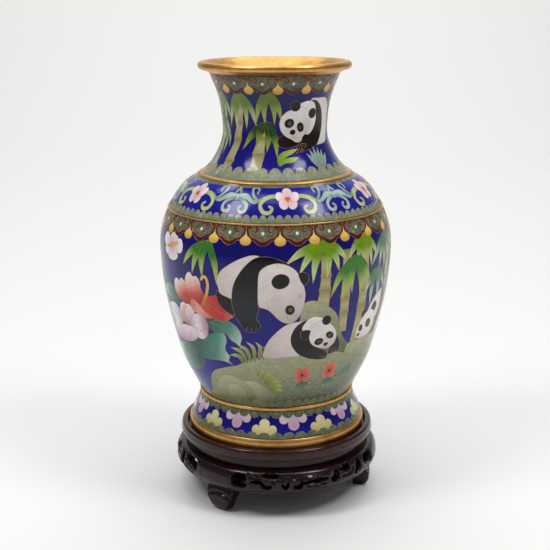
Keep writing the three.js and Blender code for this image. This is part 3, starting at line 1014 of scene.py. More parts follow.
def ground(colours, low, high):
    """A new sheet covered with one glaze from edge to edge."""
    sheet = Drawing()
    sheet.cells.append((None, fade(colours, (0, low), (0, high)), np.eye(3), 0.0, True))
    return sheet


FOOT_R = 58
foot = ground(COBALT_WITH_FLOOR_REFLECTION, 55, 72)
FOOT_BLOSSOMS = 9
for k in range(FOOT_BLOSSOMS):
    apart = 2 * math.pi * FOOT_R / FOOT_BLOSSOMS
    lilac = foot.at(12 + k * apart - math.pi * FOOT_R * (k > 4) * 2, 0)
    lilac.cell(
        [(-8.6, 69.6), (-10, 67.6), (-9.6, 65.2), (-7.4, 64), (-5, 64.4), (-3.6, 65.4, 1), (-3.9, 62.6),
         (-2.4, 60.6), (0, 59.9), (2.4, 60.6), (3.9, 62.6), (3.6, 65.4, 1), (5, 64.4), (7.4, 64),
         (9.6, 65.2), (10, 67.6), (8.6, 69.6), (4, 70.6), (0, 70), (-4, 70.6)],
        halo(["#c08fae", "#cfb0c8", "#dcc8da"], (0, 62.4), 9),
    )
    cream = foot.at(-8.3 + k * apart - math.pi * FOOT_R * (k > 4) * 2, 0)
    cream.cell(
        [(-7.6, 58.4), (-8.6, 60.8), (-7.4, 62.9), (-5, 63.4), (-3.4, 62.4, 1), (-3.7, 64.8), (-2.3, 66.6),
         (0, 67.3), (2.3, 66.6), (3.7, 64.8), (3.4, 62.4, 1), (5, 63.4), (7.4, 62.9), (8.6, 60.8),
         (7.6, 58.4), (4, 57.2), (0, 58.4), (-4, 57.2)],
        fade(["#bdb273", "#d9cf9a", "#e6dfb4"], (0, 58), (0, 66)),
    )
scales(foot, FOOT_R, 45, 71.4, -3.8, fade(["#4f5c4b", "#67735c"], (0, 68), (0, 72)))
scales(foot, FOOT_R, 45, 55.2, 3.7, fade(["#566350", "#707d64"], (0, 55), (0, 59)))
fire("foot_enamel", "foot_enamel", foot, FOOT_LINE, FOOT_R, 55.0, 71.8, 1.8, 3)

# ---- Enamel of the belly ----
# The main picture, under a border of ruyi heads: pandas on green rocks among bamboo, with a red
# hibiscus and paler flowers on one side. It runs all round, mirrored on the far side.

BELLY_R = 79.5


def ruyi_border(drawing, sheet_r, count, first, top, size):
    """Cloud-shaped ruyi heads edged in dark red, with a yellow drop hanging between each two."""
    apart = 2 * math.pi * sheet_r / count
    places = [first + k * apart for k in range(count)]
    places = [x - 2 * math.pi * sheet_r * (x > math.pi * sheet_r) for x in places]
    edge = [(10.6, 2, 1), (11.1, -2), (10.4, -5.8), (8, -8.4), (5.6, -9), (3.6, -10.8), (0, -12.1)]
    filling = [(9.6, 2, 1), (9.8, -2), (9, -5), (7, -6.9), (4.7, -7.2), (2.8, -8.5), (0, -9.4)]
    curl = [(9.4, -1.6), (7.6, 0.3), (5, 0), (3.6, -2), (4.8, -3.9), (6.6, -3.1)]
    for x in places:
        head = drawing.at(x - apart / 2, top, size)
        for half, glaze, mottled in (
            (edge, fade(["#5c2a26", "#6d1d1c", "#431214"], (0, 0), (0, -12)), 0),
            (filling, fade(["#4d4537", "#716857", "#584c3d"], (0, 0), (0, -9)), 0.7),
        ):
            mirrored = [(-u, *rest) for u, *rest in half[-2::-1]]
            head.cell(half[:-1] + [(0, half[-1][1])] + mirrored, glaze, mottled)
        for side in (-1, 1):
            curled = [(side * u, v) for u, v in curl]
            head.cell(band(curled, (1.6, 1.5, 1.2, 0.8)), "#5c1c1a")
        head.cell(oval(0, -4.4, 1.1, 1.1), "#f1eee6")
    for x in places:
        drawing.at(x, top, size).cell(
            [(0, -2.4, 1), (0.7, -5.6), (2.9, -7.4), (3.8, -9), (2.8, -11), (0, -11.9), (-2.8, -11),
             (-3.8, -9), (-2.9, -7.4), (-0.7, -5.6)],
            fade(["#f0dd96", "#e6c465", "#cf9430"], (0, -4), (0, -12)),
        )


def leaf(drawing, root, tip, wide, sway, dark, light):
    """A pointed leaf with a midrib, swaying to one side."""
    root, tip = np.array(root, float), np.array(tip, float)
    along = tip - root
    belly = (root + tip) / 2 + np.array([-along[1], along[0]]) * sway
    spine = [tuple(root), tuple(belly), tuple(tip)]
    drawing.cell(
        band(spine, (wide * 0.8, wide, wide * 1.02, wide * 0.88, wide * 0.64, wide * 0.34, 0)),
        fade([dark, dark, light, light], root, tip),
    )
    drawing.wire(spine)


def bamboo_spray(drawing, crown, tips, wide, dark, light):
    """Drooping bamboo leaves that spring side by side from one crown."""
    for tip in tips:
        away = tip[0] - crown[0]
        sway = -0.07 if away < 0 else 0.07
        leaf(drawing, (crown[0] + away * 0.2, crown[1] - abs(away) * 0.06), tip, wide, sway, dark, light)


def bamboo_stem(drawing, line, widths, nodes, colours=("#8f8a52", "#b9b183", "#a39a66")):
    """A jointed stem: pale below each joint, darker above it."""
    line = [np.array(p, float) for p in line]
    stops = [0, *nodes, 1]

    def along(t):
        spot = t * (len(line) - 1)
        i = min(int(spot), len(line) - 2)
        return line[i] + (line[i + 1] - line[i]) * (spot - i)
    for low, high in zip(stops, stops[1:]):
        a, b = along(low), along(high)
        wide_a, wide_b = np.interp([low, high], np.linspace(0, 1, len(widths)), widths)
        flare = 0.5
        drawing.cell(
            [(a[0] - wide_a / 2 - flare, a[1], 1), (a[0] - wide_a / 2, a[1] + (b[1] - a[1]) * 0.15),
             (b[0] - wide_b / 2, b[1] + (a[1] - b[1]) * 0.15), (b[0] - wide_b / 2 - flare, b[1], 1),
             (b[0] + wide_b / 2 + flare, b[1], 1), (b[0] + wide_b / 2, b[1] + (a[1] - b[1]) * 0.15),
             (a[0] + wide_a / 2, a[1] + (b[1] - a[1]) * 0.15), (a[0] + wide_a / 2 + flare, a[1], 1)],
            fade(colours, a, b),
        )


def blossom(drawing, wide, tall, petals, colours, heart, first=90):
    """A round-petalled flower at the sheet's own origin."""
    for k in range(petals):
        a = math.radians(first + 360 * k / petals)
        x, z = wide * 0.56 * math.cos(a), tall * 0.56 * math.sin(a)
        drawing.cell(
            oval(x, z, math.hypot(wide * math.cos(a), tall * math.sin(a)) * 0.42,
                 math.hypot(wide * math.sin(a), tall * math.cos(a)) * 0.4, math.degrees(a)),
            halo(colours, (0, 0), max(wide, tall)),
        )
    drawing.cell(oval(0, 0, wide * 0.2, tall * 0.2), heart)


BLACK, WHITE = ["#0b0b0d", "#17181b"], ["#f7f1ef", "#ece4e2"]


def grazing_panda(sheet):
    """The big panda, head down over its young one."""
    black = fade(["#070709", "#0b0c10", "#20262c", "#14181c"], (-18, 184), (-14, 136))
    sheet.cell(
        [(-38.5, 162), (-39.5, 167), (-37, 173), (-31, 178), (-23, 182.6), (-15, 185.2), (-10, 184.4),
         (-8, 178), (-20, 160), (-27, 152), (-33, 156), (-37.6, 158.6)],
        fade(["#d6c9c5", "#e8dcd9", "#ddd0cc"], (-38, 165), (-12, 184)),
    )
    sheet.cell(
        [(-39.8, 160.5), (-36.5, 158.2), (-32, 156.6), (-28, 155, 1), (-26, 148), (-28.5, 144.6),
         (-33, 146.2), (-38, 150), (-40.6, 155)], fade(BLACK, (-40, 150), (-28, 150)),
    )
    sheet.cell(
        [(-13, 183.6), (-8, 184.6), (-2, 184), (4, 181.8), (9, 178.6), (4, 170), (-6, 166), (-10.6, 160),
         (-10.8, 152), (-12.2, 146), (-13.2, 142.6), (-11, 140.6), (-10.4, 137.4), (-13, 134.6),
         (-18, 133.4), (-22.4, 136), (-26.4, 142), (-29, 150), (-29.2, 158), (-27.4, 166), (-23.6, 173),
         (-18.4, 179.4)], black,
    )
    for x in (-20.4, -17, -14):
        sheet.wire([(x, 134.8), (x + 0.8, 137.4)])
    sheet.cell(
        [(-11, 172), (-9.4, 176), (-5, 179), (1, 180.4), (7, 179.2), (12.6, 175.6), (16.4, 169), (19, 161),
         (18.6, 154), (17, 147.6), (14, 142.8), (10, 140.4), (6, 140.6), (1.6, 143), (-3, 147.8),
         (-6.4, 150.2), (-11, 151.6), (-11.6, 160)],
        fade(["#ece1df", "#e1d4d1", "#cbbdba"], (0, 178), (8, 142)),
    )
    sheet.cell([(14.6, 173.4), (17.6, 174.2), (20.6, 172.4), (21.2, 168.8), (18.4, 165.4), (16.4, 167.4),
                (15, 170.4)], "#120d10")
    sheet.cell(oval(3, 168.6, 5.8, 4.9, 15), "#08080a")
    sheet.cell(oval(9.2, 149.4, 3.2, 3.4, 10), "#121114")
    sheet.cell(oval(9.4, 149.6, 1.3, 1.3), "#57504a")
    sheet.cell(oval(16, 158.4, 1.6, 1.8), "#d3b0ad", wired=False)
    sheet.wire([(-6.2, 156), (-5, 152.6), (-4.4, 149.6)])
    sheet.wire([(7, 146.2), (8.4, 143), (11.6, 141.8)])
    sheet.wire([(13, 145.4), (13.4, 142.8)])


def resting_panda(sheet):
    """The young panda lying on its arms."""
    sheet.cell(
        [(-9.2, 115.5), (-8.8, 120), (-6.4, 126), (-2, 131.6), (3, 136.4), (9, 139.8), (16, 141), (22, 140),
         (24, 128), (20, 118), (8, 115.5)], fade(["#cfc0be", "#e3d5d3", "#e9dddb"], (-6, 117), (14, 140)),
    )
    sheet.cell(
        [(18, 137), (20.6, 141), (24.6, 143.4), (29.6, 143.2), (33, 141), (30, 130), (22, 130)],
        fade(WHITE, (20, 143), (30, 132)),
    )
    black = fade(["#15161a", "#0c0c0f", "#22242a"], (14, 138), (34, 113))
    sheet.cell(
        [(20.8, 141.4), (16.6, 140), (12.8, 136.4), (10.4, 131), (10.4, 126), (12.8, 121), (17, 117),
         (22.6, 114.2), (29, 112.6), (35, 111.8), (38.4, 112.4), (39.4, 115), (37.4, 118), (32, 120.4),
         (26, 124), (24, 130), (19, 133.4), (17.8, 136.4)], black,
    )
    sheet.cell(
        [(46, 127), (48.2, 124), (49.4, 120), (49.2, 117), (46, 115.8), (42, 115), (39.8, 115.6),
         (40, 118.6), (42, 122), (43, 126)], black,
    )
    for x in (41.6, 43.6, 45.6):
        sheet.wire([(x, 115.8), (x + 0.6, 119.4)])
    for x in (34, 35.8, 37.4):
        sheet.wire([(x, 112.6), (x + 0.6, 114.6)])
    sheet.cell([(17.4, 134), (23.6, 134.2), (24.2, 128.2), (19.6, 128), (17, 130.6)], "#101013")
    sheet.cell(
        [(24.4, 134.4), (25.6, 137.6), (28.6, 139.8), (32.4, 140.4), (37, 138.4), (41, 135.2), (44, 131.4),
         (45, 127.6), (44.2, 123.8), (41.6, 121), (37.8, 119.6), (33.6, 120.2), (29, 121.8), (25.2, 124.6),
         (23.4, 129)],
        fade(["#ede4e2", "#e9e2df", "#d0c3c0"], (30, 140), (38, 120)),
    )
    sheet.cell(oval(35.4, 140.2, 3.4, 3.4), "#0e0e11")
    sheet.cell(oval(31, 125.4, 3.4, 2.5, 8), "#111114")
    sheet.cell(oval(31.2, 125.4, 1.2, 1), "#4a4743")
    sheet.cell(oval(39.2, 129.2, 3.4, 2.4, -28), "#111114")
    sheet.cell(oval(39.4, 129, 1.2, 1), "#4a4743")
    sheet.cell([(34.8, 123.2), (37, 124), (38.8, 123.6), (37.6, 121.8), (36, 121.6)], "#141416")
    sheet.wire([(37, 121.8), (36.6, 120.8), (34.8, 121)])
    sheet.wire([(36.6, 120.8), (38.6, 121.2)])


def sitting_panda(sheet):
    """A third panda among the stems, seen from the side."""
    sheet.cell(
        [(68, 120.5), (66, 124), (72, 136), (78, 145), (88, 150.4), (100, 150), (110, 143), (115, 132),
         (113, 120.5), (90, 119)], fade(["#e4dedb", "#f0ecea", "#dfd7d4"], (70, 122), (100, 148)),
    )
    black = fade(["#101013", "#26282d"], (100, 146), (92, 120))
    sheet.cell(
        [(93, 149.8), (101, 149.6), (104, 142), (102, 134), (97, 127), (94, 120.4), (86, 118.6), (81, 120.6),
         (84, 126), (89, 131), (92.6, 138), (92.6, 144)], black,
    )
    sheet.cell([(106, 122), (112, 125), (115, 121), (113, 117.6), (104, 117.6), (101, 119.6)], black)
    sheet.cell(oval(70.4, 137.6, 3.6, 3.4), "#17171b")
    sheet.cell(oval(82.6, 140, 3.8, 3.8), "#17171b")
    sheet.cell(
        [(64.4, 123.4), (64.6, 127), (67, 132.4), (71.6, 137.6), (77, 139), (83, 137), (87.6, 132),
         (88.4, 126), (85, 121.6), (79, 119.8), (72, 119.6), (66.6, 120.6)],
        fade(["#f1edeb", "#e4dcd9"], (76, 138), (72, 120)),
    )
    sheet.cell(oval(77.8, 129.4, 3.6, 3.1, -35), "#131316")
    sheet.cell(oval(78, 129.2, 1.2, 1.1), "#4a4743")
    sheet.cell(oval(69, 127.6, 2.2, 2.7, 20), "#131316")
    sheet.cell(oval(67.6, 123, 1.7, 1.2), "#151518")
    sheet.wire([(67.6, 121.9), (69.4, 121.2), (71.4, 121.8)])


def hibiscus(sheet):
    """The red and white hibiscus, its petals notched and its long stamen curled over."""
    for outline, colours, start, end in (
        ([(-82, 157), (-80.6, 161.4), (-77, 162.8), (-74.6, 160.8, 1), (-72.6, 163.8), (-69, 162.6),
          (-66.4, 158), (-65, 152), (-66.4, 147.2), (-71, 146.4), (-77.6, 149.8), (-81.4, 153)],
         ["#f0e6e2", "#e6a89c", "#cf4742", "#b0282c"], (-77, 161), (-70, 148)),
        ([(-66.6, 156), (-68, 162), (-66, 167), (-62.6, 169.6), (-59.4, 167, 1), (-56, 167.6), (-53.2, 164),
          (-52.8, 160), (-50.6, 156.4), (-53, 149.6), (-60, 148.6), (-65, 151)],
         ["#f1e7e3", "#e8b3a6", "#d24c42", "#ab2428"], (-61, 168), (-57, 150)),
        ([(-52, 151), (-48, 154.8), (-43.6, 156.4), (-40.4, 156.6), (-39.6, 153), (-36, 148.2),
          (-28.6, 143.6, 1), (-33, 141), (-38, 139.4), (-43, 140), (-48.6, 143.2), (-53, 147.6)],
         ["#d2503c", "#c23334", "#b92a30", "#d8705e"], (-52, 149), (-29, 143)),
        ([(-64.6, 149.6), (-62, 151.6), (-57, 149.4), (-50.4, 144), (-45, 141, 1), (-49, 139.6),
          (-56.4, 141.4), (-62.4, 143), (-64.6, 146)],
         ["#d86a58", "#e9a596", "#cf4f45"], (-64, 150), (-46, 140)),
    ):
        sheet.cell(outline, fade(colours, start, end))
    for run in (
        [(-76, 159), (-72, 154), (-68, 150)], [(-71, 161), (-69, 155), (-67, 150)],
        [(-63, 166), (-61, 158), (-57, 151)], [(-57, 165), (-56, 158), (-55, 151)],
        [(-49, 151), (-42, 147), (-34, 143.6)], [(-47, 153), (-43, 151), (-39, 148.4)],
    ):
        sheet.wire(run)
    sheet.cell(
        band([(-53.6, 147.4), (-50.6, 152), (-48, 157.6), (-46.8, 163.6), (-48, 167.8), (-50.4, 168.2),
              (-52, 166.2)],
             (2.4, 2.3, 2.1, 2)), fade(["#b9702c", "#e2a04e", "#f0bd72"], (-53, 148), (-49, 168)),
    )


def pale_flower(sheet):
    """The open white flower, shaded lilac, with yellow stamens."""
    for outline, colours, start, end in (
        ([(-79.6, 139), (-77, 145), (-70, 147.6), (-63.6, 145), (-61.6, 141), (-64, 136), (-69, 131.6),
          (-77, 132.6)],
         ["#efe6ea", "#d9c0d0", "#b48aa6"], (-70, 147), (-72, 132)),
        ([(-66, 137.4), (-60.6, 141.2), (-53.6, 141.2), (-50.6, 136.6), (-51.4, 129), (-56.4, 123.8),
          (-62, 123.4), (-66.4, 127), (-70, 131.6)],
         ["#c49ab4", "#ece2e7", "#b07f9a"], (-69, 132), (-51, 134)),
        ([(-104, 136), (-97, 141.4), (-86, 143.6), (-79.4, 140), (-77, 133.6), (-82, 129.6), (-92, 128),
          (-101, 130)],
         ["#cfb4c6", "#f0eaed", "#c39fb6"], (-103, 134), (-78, 136)),
        ([(-96, 127.6), (-86, 128.6), (-74, 130.4), (-64, 129.8), (-61.6, 126), (-66, 121.4), (-76, 117.8),
          (-88, 116.6), (-97, 119.4), (-99, 123.6)],
         ["#efe8ec", "#dcc6d4", "#b48ba8"], (-80, 130), (-80, 118)),
    ):
        sheet.cell(outline, fade(colours, start, end))
    for run in (
        [(-74, 134), (-73, 139), (-72, 144)], [(-68, 132.6), (-61, 134.6), (-54, 136)],
        [(-67, 130.6), (-61, 130), (-55, 128.4)], [(-80, 134), (-88, 136), (-97, 136)],
        [(-76, 128.6), (-83, 125), (-92, 122.6)], [(-70, 128.8), (-71, 124.6), (-74, 120.6)],
    ):
        sheet.wire(run)
    for run in (
        [(-72, 132.4), (-74.6, 137), (-73.4, 142.4), (-70, 144.4)],
        [(-73, 131.6), (-77.6, 133.6), (-81, 131), (-84, 128.4)],
    ):
        sheet.cell(band(run, (1.4, 1.4, 2.2)), fade(["#c99a4c", "#ecc987"], run[0], run[-1]))


def small_flower(sheet):
    """The small pink-white flower in the upper corner."""
    for outline in (
        [(-84, 183), (-88, 181), (-93, 182.6), (-96, 187), (-93.4, 191), (-88.6, 190.6), (-85, 187)],
        [(-84, 185), (-86, 189.6), (-82.4, 192.6), (-77.6, 191.8), (-74.6, 188.4), (-78, 184.6)],
        [(-79, 185), (-75, 189.4), (-71.4, 189.6), (-68.8, 186), (-69.8, 181.4), (-74, 180), (-79, 182)],
        [(-80, 183.6), (-76, 181.4), (-74.4, 177.6), (-78.6, 174.6), (-84, 174), (-88, 176), (-86.6, 180.6)],
        [(-84.6, 183), (-85.6, 179), (-89.6, 176.6), (-93, 178.6), (-92, 182)],
    ):
        sheet.cell(outline, halo(["#cf9bab", "#e6cfd8", "#f3f0f0"], (-82, 183.6), 11))
    sheet.cell(
        band([(-88, 182.6), (-82, 184.2), (-75, 186.6)], (1.6, 2.4, 2)),
        fade(["#d98a3c", "#efb56a"], (-88, 182), (-75, 187)),
    )


def broad_leaves(sheet):
    """The teal leaves behind the flowers, pale along their toothed edges."""
    for outline, start, end, rib in (
        ([(-56, 140), (-44, 141), (-33, 140.2), (-26.6, 135.8), (-24.2, 129), (-25.6, 124.6),
          (-25, 120.4, 1), (-28.6, 124.4), (-33, 126.8), (-36, 130.6), (-39.6, 129.4), (-47, 131)],
         (-52, 138), (-26, 126), [(-54, 138), (-40, 135.6), (-31, 131), (-27, 126)]),
        ([(-68, 124), (-56, 127), (-46, 129.6), (-37.8, 130.4), (-36.4, 125.4), (-38, 121.8, 1),
          (-38.4, 118.6), (-35.4, 114, 1), (-37, 111), (-33.6, 107.6, 1), (-39, 109.6), (-47, 109.8),
          (-58, 108.8), (-68, 111), (-78, 114)],
         (-66, 120), (-36, 112), [(-66, 119), (-52, 119.6), (-42, 115), (-36, 109)]),
        ([(-66, 114), (-62, 108), (-65, 102.6), (-73, 98), (-84, 96.8), (-97, 99.6), (-106, 105), (-98, 112),
          (-82, 116)],
         (-68, 110), (-100, 102), [(-70, 111), (-84, 106), (-98, 104)]),
        ([(-74, 146), (-80, 153), (-88, 156.4), (-96, 155.2), (-106, 149.6, 1), (-96, 146.4), (-84, 144)],
         (-76, 148), (-102, 150), [(-77, 148.6), (-90, 151), (-102, 150)]),
    ):
        sheet.cell(outline, fade(["#1d4c44", "#2f6e62", "#4f8d80", "#b4cec4"], start, end))
        sheet.wire(rib)
        root, heart, end = (np.array(rib[k]) for k in (0, 1, -1))
        out = (end - root) / np.linalg.norm(end - root)
        for t in (0.25, 0.5, 0.75):
            a = root * (1 - t) + end * t + (heart - (root + end) / 2) * 0.8
            for side in (-1, 1):
                tip = a + out * 4 + side * np.array([-out[1], out[0]]) * 5
                sheet.wire([tuple(a), tuple((a + tip) / 2 + out * 0.6), tuple(tip)])


STONE = ["#4c513c", "#878b69", "#a7a884", "#c3c09c"]


def rocks(sheet):
    """The green rock bank, in overlapping rounded hills."""
    for outline, start, end, mottled in (
        ([(15, 118), (16, 141), (17.2, 149), (18.8, 153.6), (24, 154.8), (30, 153.2), (36, 149.6),
          (41, 145.4), (44.2, 141), (46.6, 135), (50, 127.4), (55, 121.6), (60, 118.6), (64, 112),
          (50, 108)],
         (30, 112), (26, 154), 0.5),
        ([(56, 112), (57, 119), (64, 120.4), (76, 121), (92, 120.6), (108, 121.4), (119, 115), (126, 101),
          (100, 90), (70, 96)], (90, 96), (88, 121), 0.5),
        ([(-72, 76), (-66, 86), (-60, 95), (-53, 101), (-46, 103.6), (-38, 106.2), (-30, 108.2),
          (-22, 112.4), (-10, 115.6), (2, 116.8), (20, 116.2), (34, 114.6), (46, 115.6), (53, 114.2),
          (62, 110.4), (71, 106.6), (85, 103), (102, 99.6), (118, 94), (126, 84), (122, 74), (40, 72),
          (-40, 72)], (0, 76), (-4, 117), 0.5),
        ([(-60, 84), (-54, 92), (-48, 97), (-42, 99.4), (-34, 98.8), (-27, 95.6), (-20, 90), (-16, 82),
          (-30, 76), (-50, 76)], (-38, 78), (-40, 99), 0.3),
        ([(-27, 95.6), (-21, 97), (-14, 95.2), (-8, 91), (-3, 85), (0, 78), (-16, 74), (-20, 90)],
         (-12, 76), (-18, 97), 0.3),
        ([(-46, 86), (-42, 91.6), (-36.6, 93), (-31, 91), (-27, 86), (-30, 78), (-44, 78)],
         (-36, 78), (-38, 93), 0.3),
    ):
        sheet.cell(outline, fade(STONE, start, end), mottled=mottled)
    for run in (
        [(-10, 112), (2, 110.4), (16, 111.6)], [(24, 110), (36, 107.4), (50, 108.6)],
        [(60, 104), (72, 99.6), (86, 98.4)], [(20, 148), (26, 146), (33, 147)],
        [(36, 143), (40, 137), (42, 130)], [(48, 122), (53, 116), (60, 114)],
    ):
        sheet.wire(run)


def grass(sheet, root, tips, wide, colours):
    """Blades that fan from one root."""
    for tip in tips:
        away = tip[0] - root[0]
        middle = ((root[0] + tip[0]) / 2 + away * 0.12, (root[1] + tip[1]) / 2 + abs(away) * 0.14)
        sheet.cell(band([root, middle, tip], (wide * 0.4, wide, wide * 0.9, 0)), fade(colours, root, tip))


def picture(sheet):
    """One whole scene, drawn from 104 mm left of its middle to 125 mm right of it."""
    for line, widths, joints in (
        ([(32.6, 184), (33, 172), (32.6, 160), (31.4, 148)], (6.4, 6.6, 8, 9), (0.38, 0.62)),
        ([(48.6, 186), (48.8, 168), (48.4, 150), (49.6, 130)], (6.4, 6.8, 7.4, 6), (0.3, 0.58, 0.76)),
        ([(65.6, 188), (65.4, 168), (65, 148), (62.6, 118)], (6.6, 7.4, 8.4, 6), (0.3, 0.52, 0.68)),
        ([(97, 190), (98, 170), (97, 150), (98, 120)], (6, 6.6, 7, 7), (0.25, 0.5, 0.75)),
        ([(116, 192), (115, 164), (117, 140), (118, 96)], (5.6, 6.4, 7, 7.4), (0.22, 0.45, 0.68, 0.85)),
    ):
        bamboo_stem(sheet, line, widths, joints)
    green, young, blue = ("#2e7d28", "#a9c85a"), ("#6f9a10", "#c6d88e"), ("#3f7f5a", "#bcd6b8")
    for crown, tips, wide, colours in (
        ((-47, 191), [(-68.6, 173.6), (-60, 168.6), (-51, 167), (-39.6, 164)], 5, green),
        ((65, 193), [(49, 178), (57.4, 172.6), (64.6, 170), (72, 171), (79, 176)], 4.6, young),
        ((32, 192), [(5.6, 179), (14.6, 172), (24, 166), (33.6, 168), (42.6, 172.6), (48.6, 179)],
         5.4, young),
        ((94, 190), [(72, 170), (82.4, 167), (91.6, 165), (101, 168), (112, 174)], 5, blue),
        ((56, 180), [(36.6, 155), (46, 150.6), (54, 156), (62, 151), (71.6, 159)], 5.4, green),
        ((80, 168), [(66.4, 152), (74.6, 143), (83.6, 144.6), (94, 152)], 5, blue),
        ((118, 178), [(103, 160), (111, 152), (119, 152), (129, 161)], 5, green),
    ):
        bamboo_spray(sheet, crown, tips, wide, *colours)
    broad_leaves(sheet)
    sitting_panda(sheet.at(0, 1))
    rocks(sheet)
    for root, tip in (
        ((-25, 110.4), (-35.4, 115.4)), ((-22, 111), (-34, 121.4)), ((-19, 112), (-28.6, 124)),
        ((-16, 113), (-21.4, 126.6)), ((-12.6, 114), (-14.6, 126.8)), ((-9.4, 115), (-9.6, 123.4)),
    ):
        bow = ((root[0] + tip[0]) / 2 + 2.2, (root[1] + tip[1]) / 2 + 2.4)
        glaze = fade(["#6f8236", "#8fa24e", "#bccb8e"], root, tip)
        sheet.cell(band([root, bow, tip], (1.6, 2.9, 2.6, 0)), glaze)
    grazing_panda(sheet)
    resting_panda(sheet)
    pale_flower(sheet)
    hibiscus(sheet)
    small_flower(sheet)
    fern = [(-14, 104), (-13, 97), (-7, 90.4), (1, 86.4)]
    for t, reach in ((0.04, 7), (0.2, 11), (0.36, 13), (0.52, 13), (0.68, 12), (0.84, 10)):
        root = tuple(np.array(fern[0]) * (1 - t) + np.array(fern[-1]) * t - (1.4, 2))
        tip = (root[0] + reach * 0.86, root[1] + reach * 0.42 - 3 * t)
        bow = ((root[0] + tip[0]) / 2 - 0.6, (root[1] + tip[1]) / 2 + 2.6)
        glaze = fade(["#6f7a2c", "#98a34c", "#b9c27c"], root, tip)
        sheet.cell(band([root, bow, tip], (1.4, 3, 2.8, 0)), glaze)
    for k in range(6):
        root = (52.4 + 3 * k, 95.6 + 0.3 * k)
        tip = (54.6 + 3.5 * k, 108.6 - 0.7 * k)
        blade = band([root, (root[0] - 0.6, 102.4), tip], (1.6, 2.4, 2, 0))
        sheet.cell(blade, fade(["#2f6a5e", "#7fb0a0"], root, tip))
    for x, z in ((20.6, 101.4), (44.4, 101.8)):
        for tip in ((x - 8.6, z - 11), (x - 3.4, z - 13.8), (x + 3.8, z - 13.8), (x + 9, z - 11)):
            leaf(sheet, (x, z - 6), tip, 3.2, 0.1, "#1f6f60", "#4a8f7e")
        blossom(sheet.at(x, z), 7.6, 7, 4, ["#b93c3c", "#d8604f", "#e0806c"], "#7c1f22", first=45)


BELLY_HALF_TURN = math.pi * BELLY_R
belly = ground(COBALT_WITH_FLOOR_REFLECTION, 75, 203)
picture(belly)
picture(belly.at(BELLY_HALF_TURN, 0, flip=True))
# what fills the narrow gap between the two scenes
side = belly.at(-125, 0)
bamboo_stem(side, [(-6, 190), (-6.4, 165), (-4, 140), (-5, 90)], (6, 6.6, 7.4, 7.6), (0.2, 0.42, 0.64, 0.84))
bamboo_stem(side, [(11, 190), (10, 170), (11, 150), (9, 100)], (5.6, 6.2, 6.6, 7), (0.3, 0.55, 0.78))
bamboo_spray(side, (-3, 192), [(-22, 176), (-12, 169), (0, 166), (13, 174)], 7, "#2e7d28", "#a9c85a")
bamboo_spray(side, (8, 166), [(-9, 150), (2, 143), (12, 145), (22, 153)], 6.6, "#3f7f5a", "#bcd6b8")
side.cell(
    [(-30, 76), (-27, 92), (-18, 101), (-6, 105), (8, 104), (20, 97), (30, 86), (36, 76)],
    fade(STONE, (0, 76), (0, 106)), mottled=0.3,
)
small_flower(side.at(84, -50))
scales(belly, BELLY_R, 60, 75.4, 5.4, fade(["#5f6f58", "#7f8c70"], (0, 75), (0, 81)))
belly.cell(
    [(-BELLY_HALF_TURN - 9, 201.2, 1), (BELLY_HALF_TURN + 9, 201.2, 1), (BELLY_HALF_TURN + 9, 205, 1),
     (-BELLY_HALF_TURN - 9, 205, 1)], fade(SAGE, (0, 201), (0, 204)), mottled=0.8,
)
ruyi_border(belly, BELLY_R, 22, 3, 203, 1.0)
fire("belly_enamel", "belly_enamel", belly, BODY_LINE, BELLY_R, 75.0, 202.7, 2.2, 5)

# ---- Enamel of the shoulder ----
# Six blossoms joined by curling stems on cobalt, over a row of small mottled scales.

SHOULDER_R = 73
shoulder = ground(["#0f0e7e", "#171a98"], 205, 225)
for k in range(6):
    apart = 2 * math.pi * SHOULDER_R / 6
    x = 9 + k * apart
    spot = shoulder.at(x - 2 * math.pi * SHOULDER_R * (x > math.pi * SHOULDER_R), 218.2)
    for flip in (False, True):
        stem = spot.at(0, 0, flip=flip)
        for points, widths, colours in (
            ([(17, 1.4), (24, -1.8), (31, 1.2), (38.4, 0.6)], (0.6, 1.8, 2.8, 3.2), ["#6a9a94", "#b0cec9"]),
            ([(22, -1), (26, 2.4), (27, 5.4), (24, 6.2), (21.6, 4.6), (22.8, 3)],
             (1.6, 1.6, 1.4, 1), ["#6a9c8c", "#accdc0"]),
            ([(37.6, 0.2), (33, -0.8), (29.4, -3.6), (30.2, -7), (33.8, -7.4), (35, -5.2), (33.4, -4.2)],
             (1.4, 2, 2, 1.8, 1.3), ["#6a9a94", "#accac6"]),
            ([(36, 3.2), (39, 6.4), (35.4, 6.8)], (1.2, 1.4, 0.8), ["#7da892", "#b9d2c4"]),
            ([(5, 1), (11, 1.4), (16.6, 0), (19.6, -3.4), (17.4, -7.2), (13, -7.6), (11.2, -5.2),
              (13.4, -4)],
             (1.4, 2, 2.4, 2.4, 2, 1.4), ["#8fae4e", "#c2d288"]),
        ):
            stem.cell(band(points, [1.05 * w for w in widths]), fade(colours, points[0], points[2]), 0.25)
    blossom(spot, 9.8, 5.8, 5, ["#cf8f9a", "#e6ccd2", "#efe6e6"], "#c8481f")
scales(shoulder, SHOULDER_R, 84, 204.6, 4.6, fade(["#7f9078", "#a3b096"], (0, 204), (0, 209)))
half_turn = math.pi * SHOULDER_R
shoulder.cell(
    [(-half_turn - 9, 224, 1), (half_turn + 9, 224, 1), (half_turn + 9, 226, 1), (-half_turn - 9, 226, 1)],
    fade(SAGE, (0, 224), (0, 226)), mottled=0.8,
)
fire("shoulder_enamel", "shoulder_enamel", shoulder, BODY_LINE, SHOULDER_R, 204.5, 225.3, 1.6, 7)

# ---- Enamel of the neck ----
# Pandas that climb among bamboo, under a border of ruyi heads and over a row of mottled scales.

NECK_R = 40


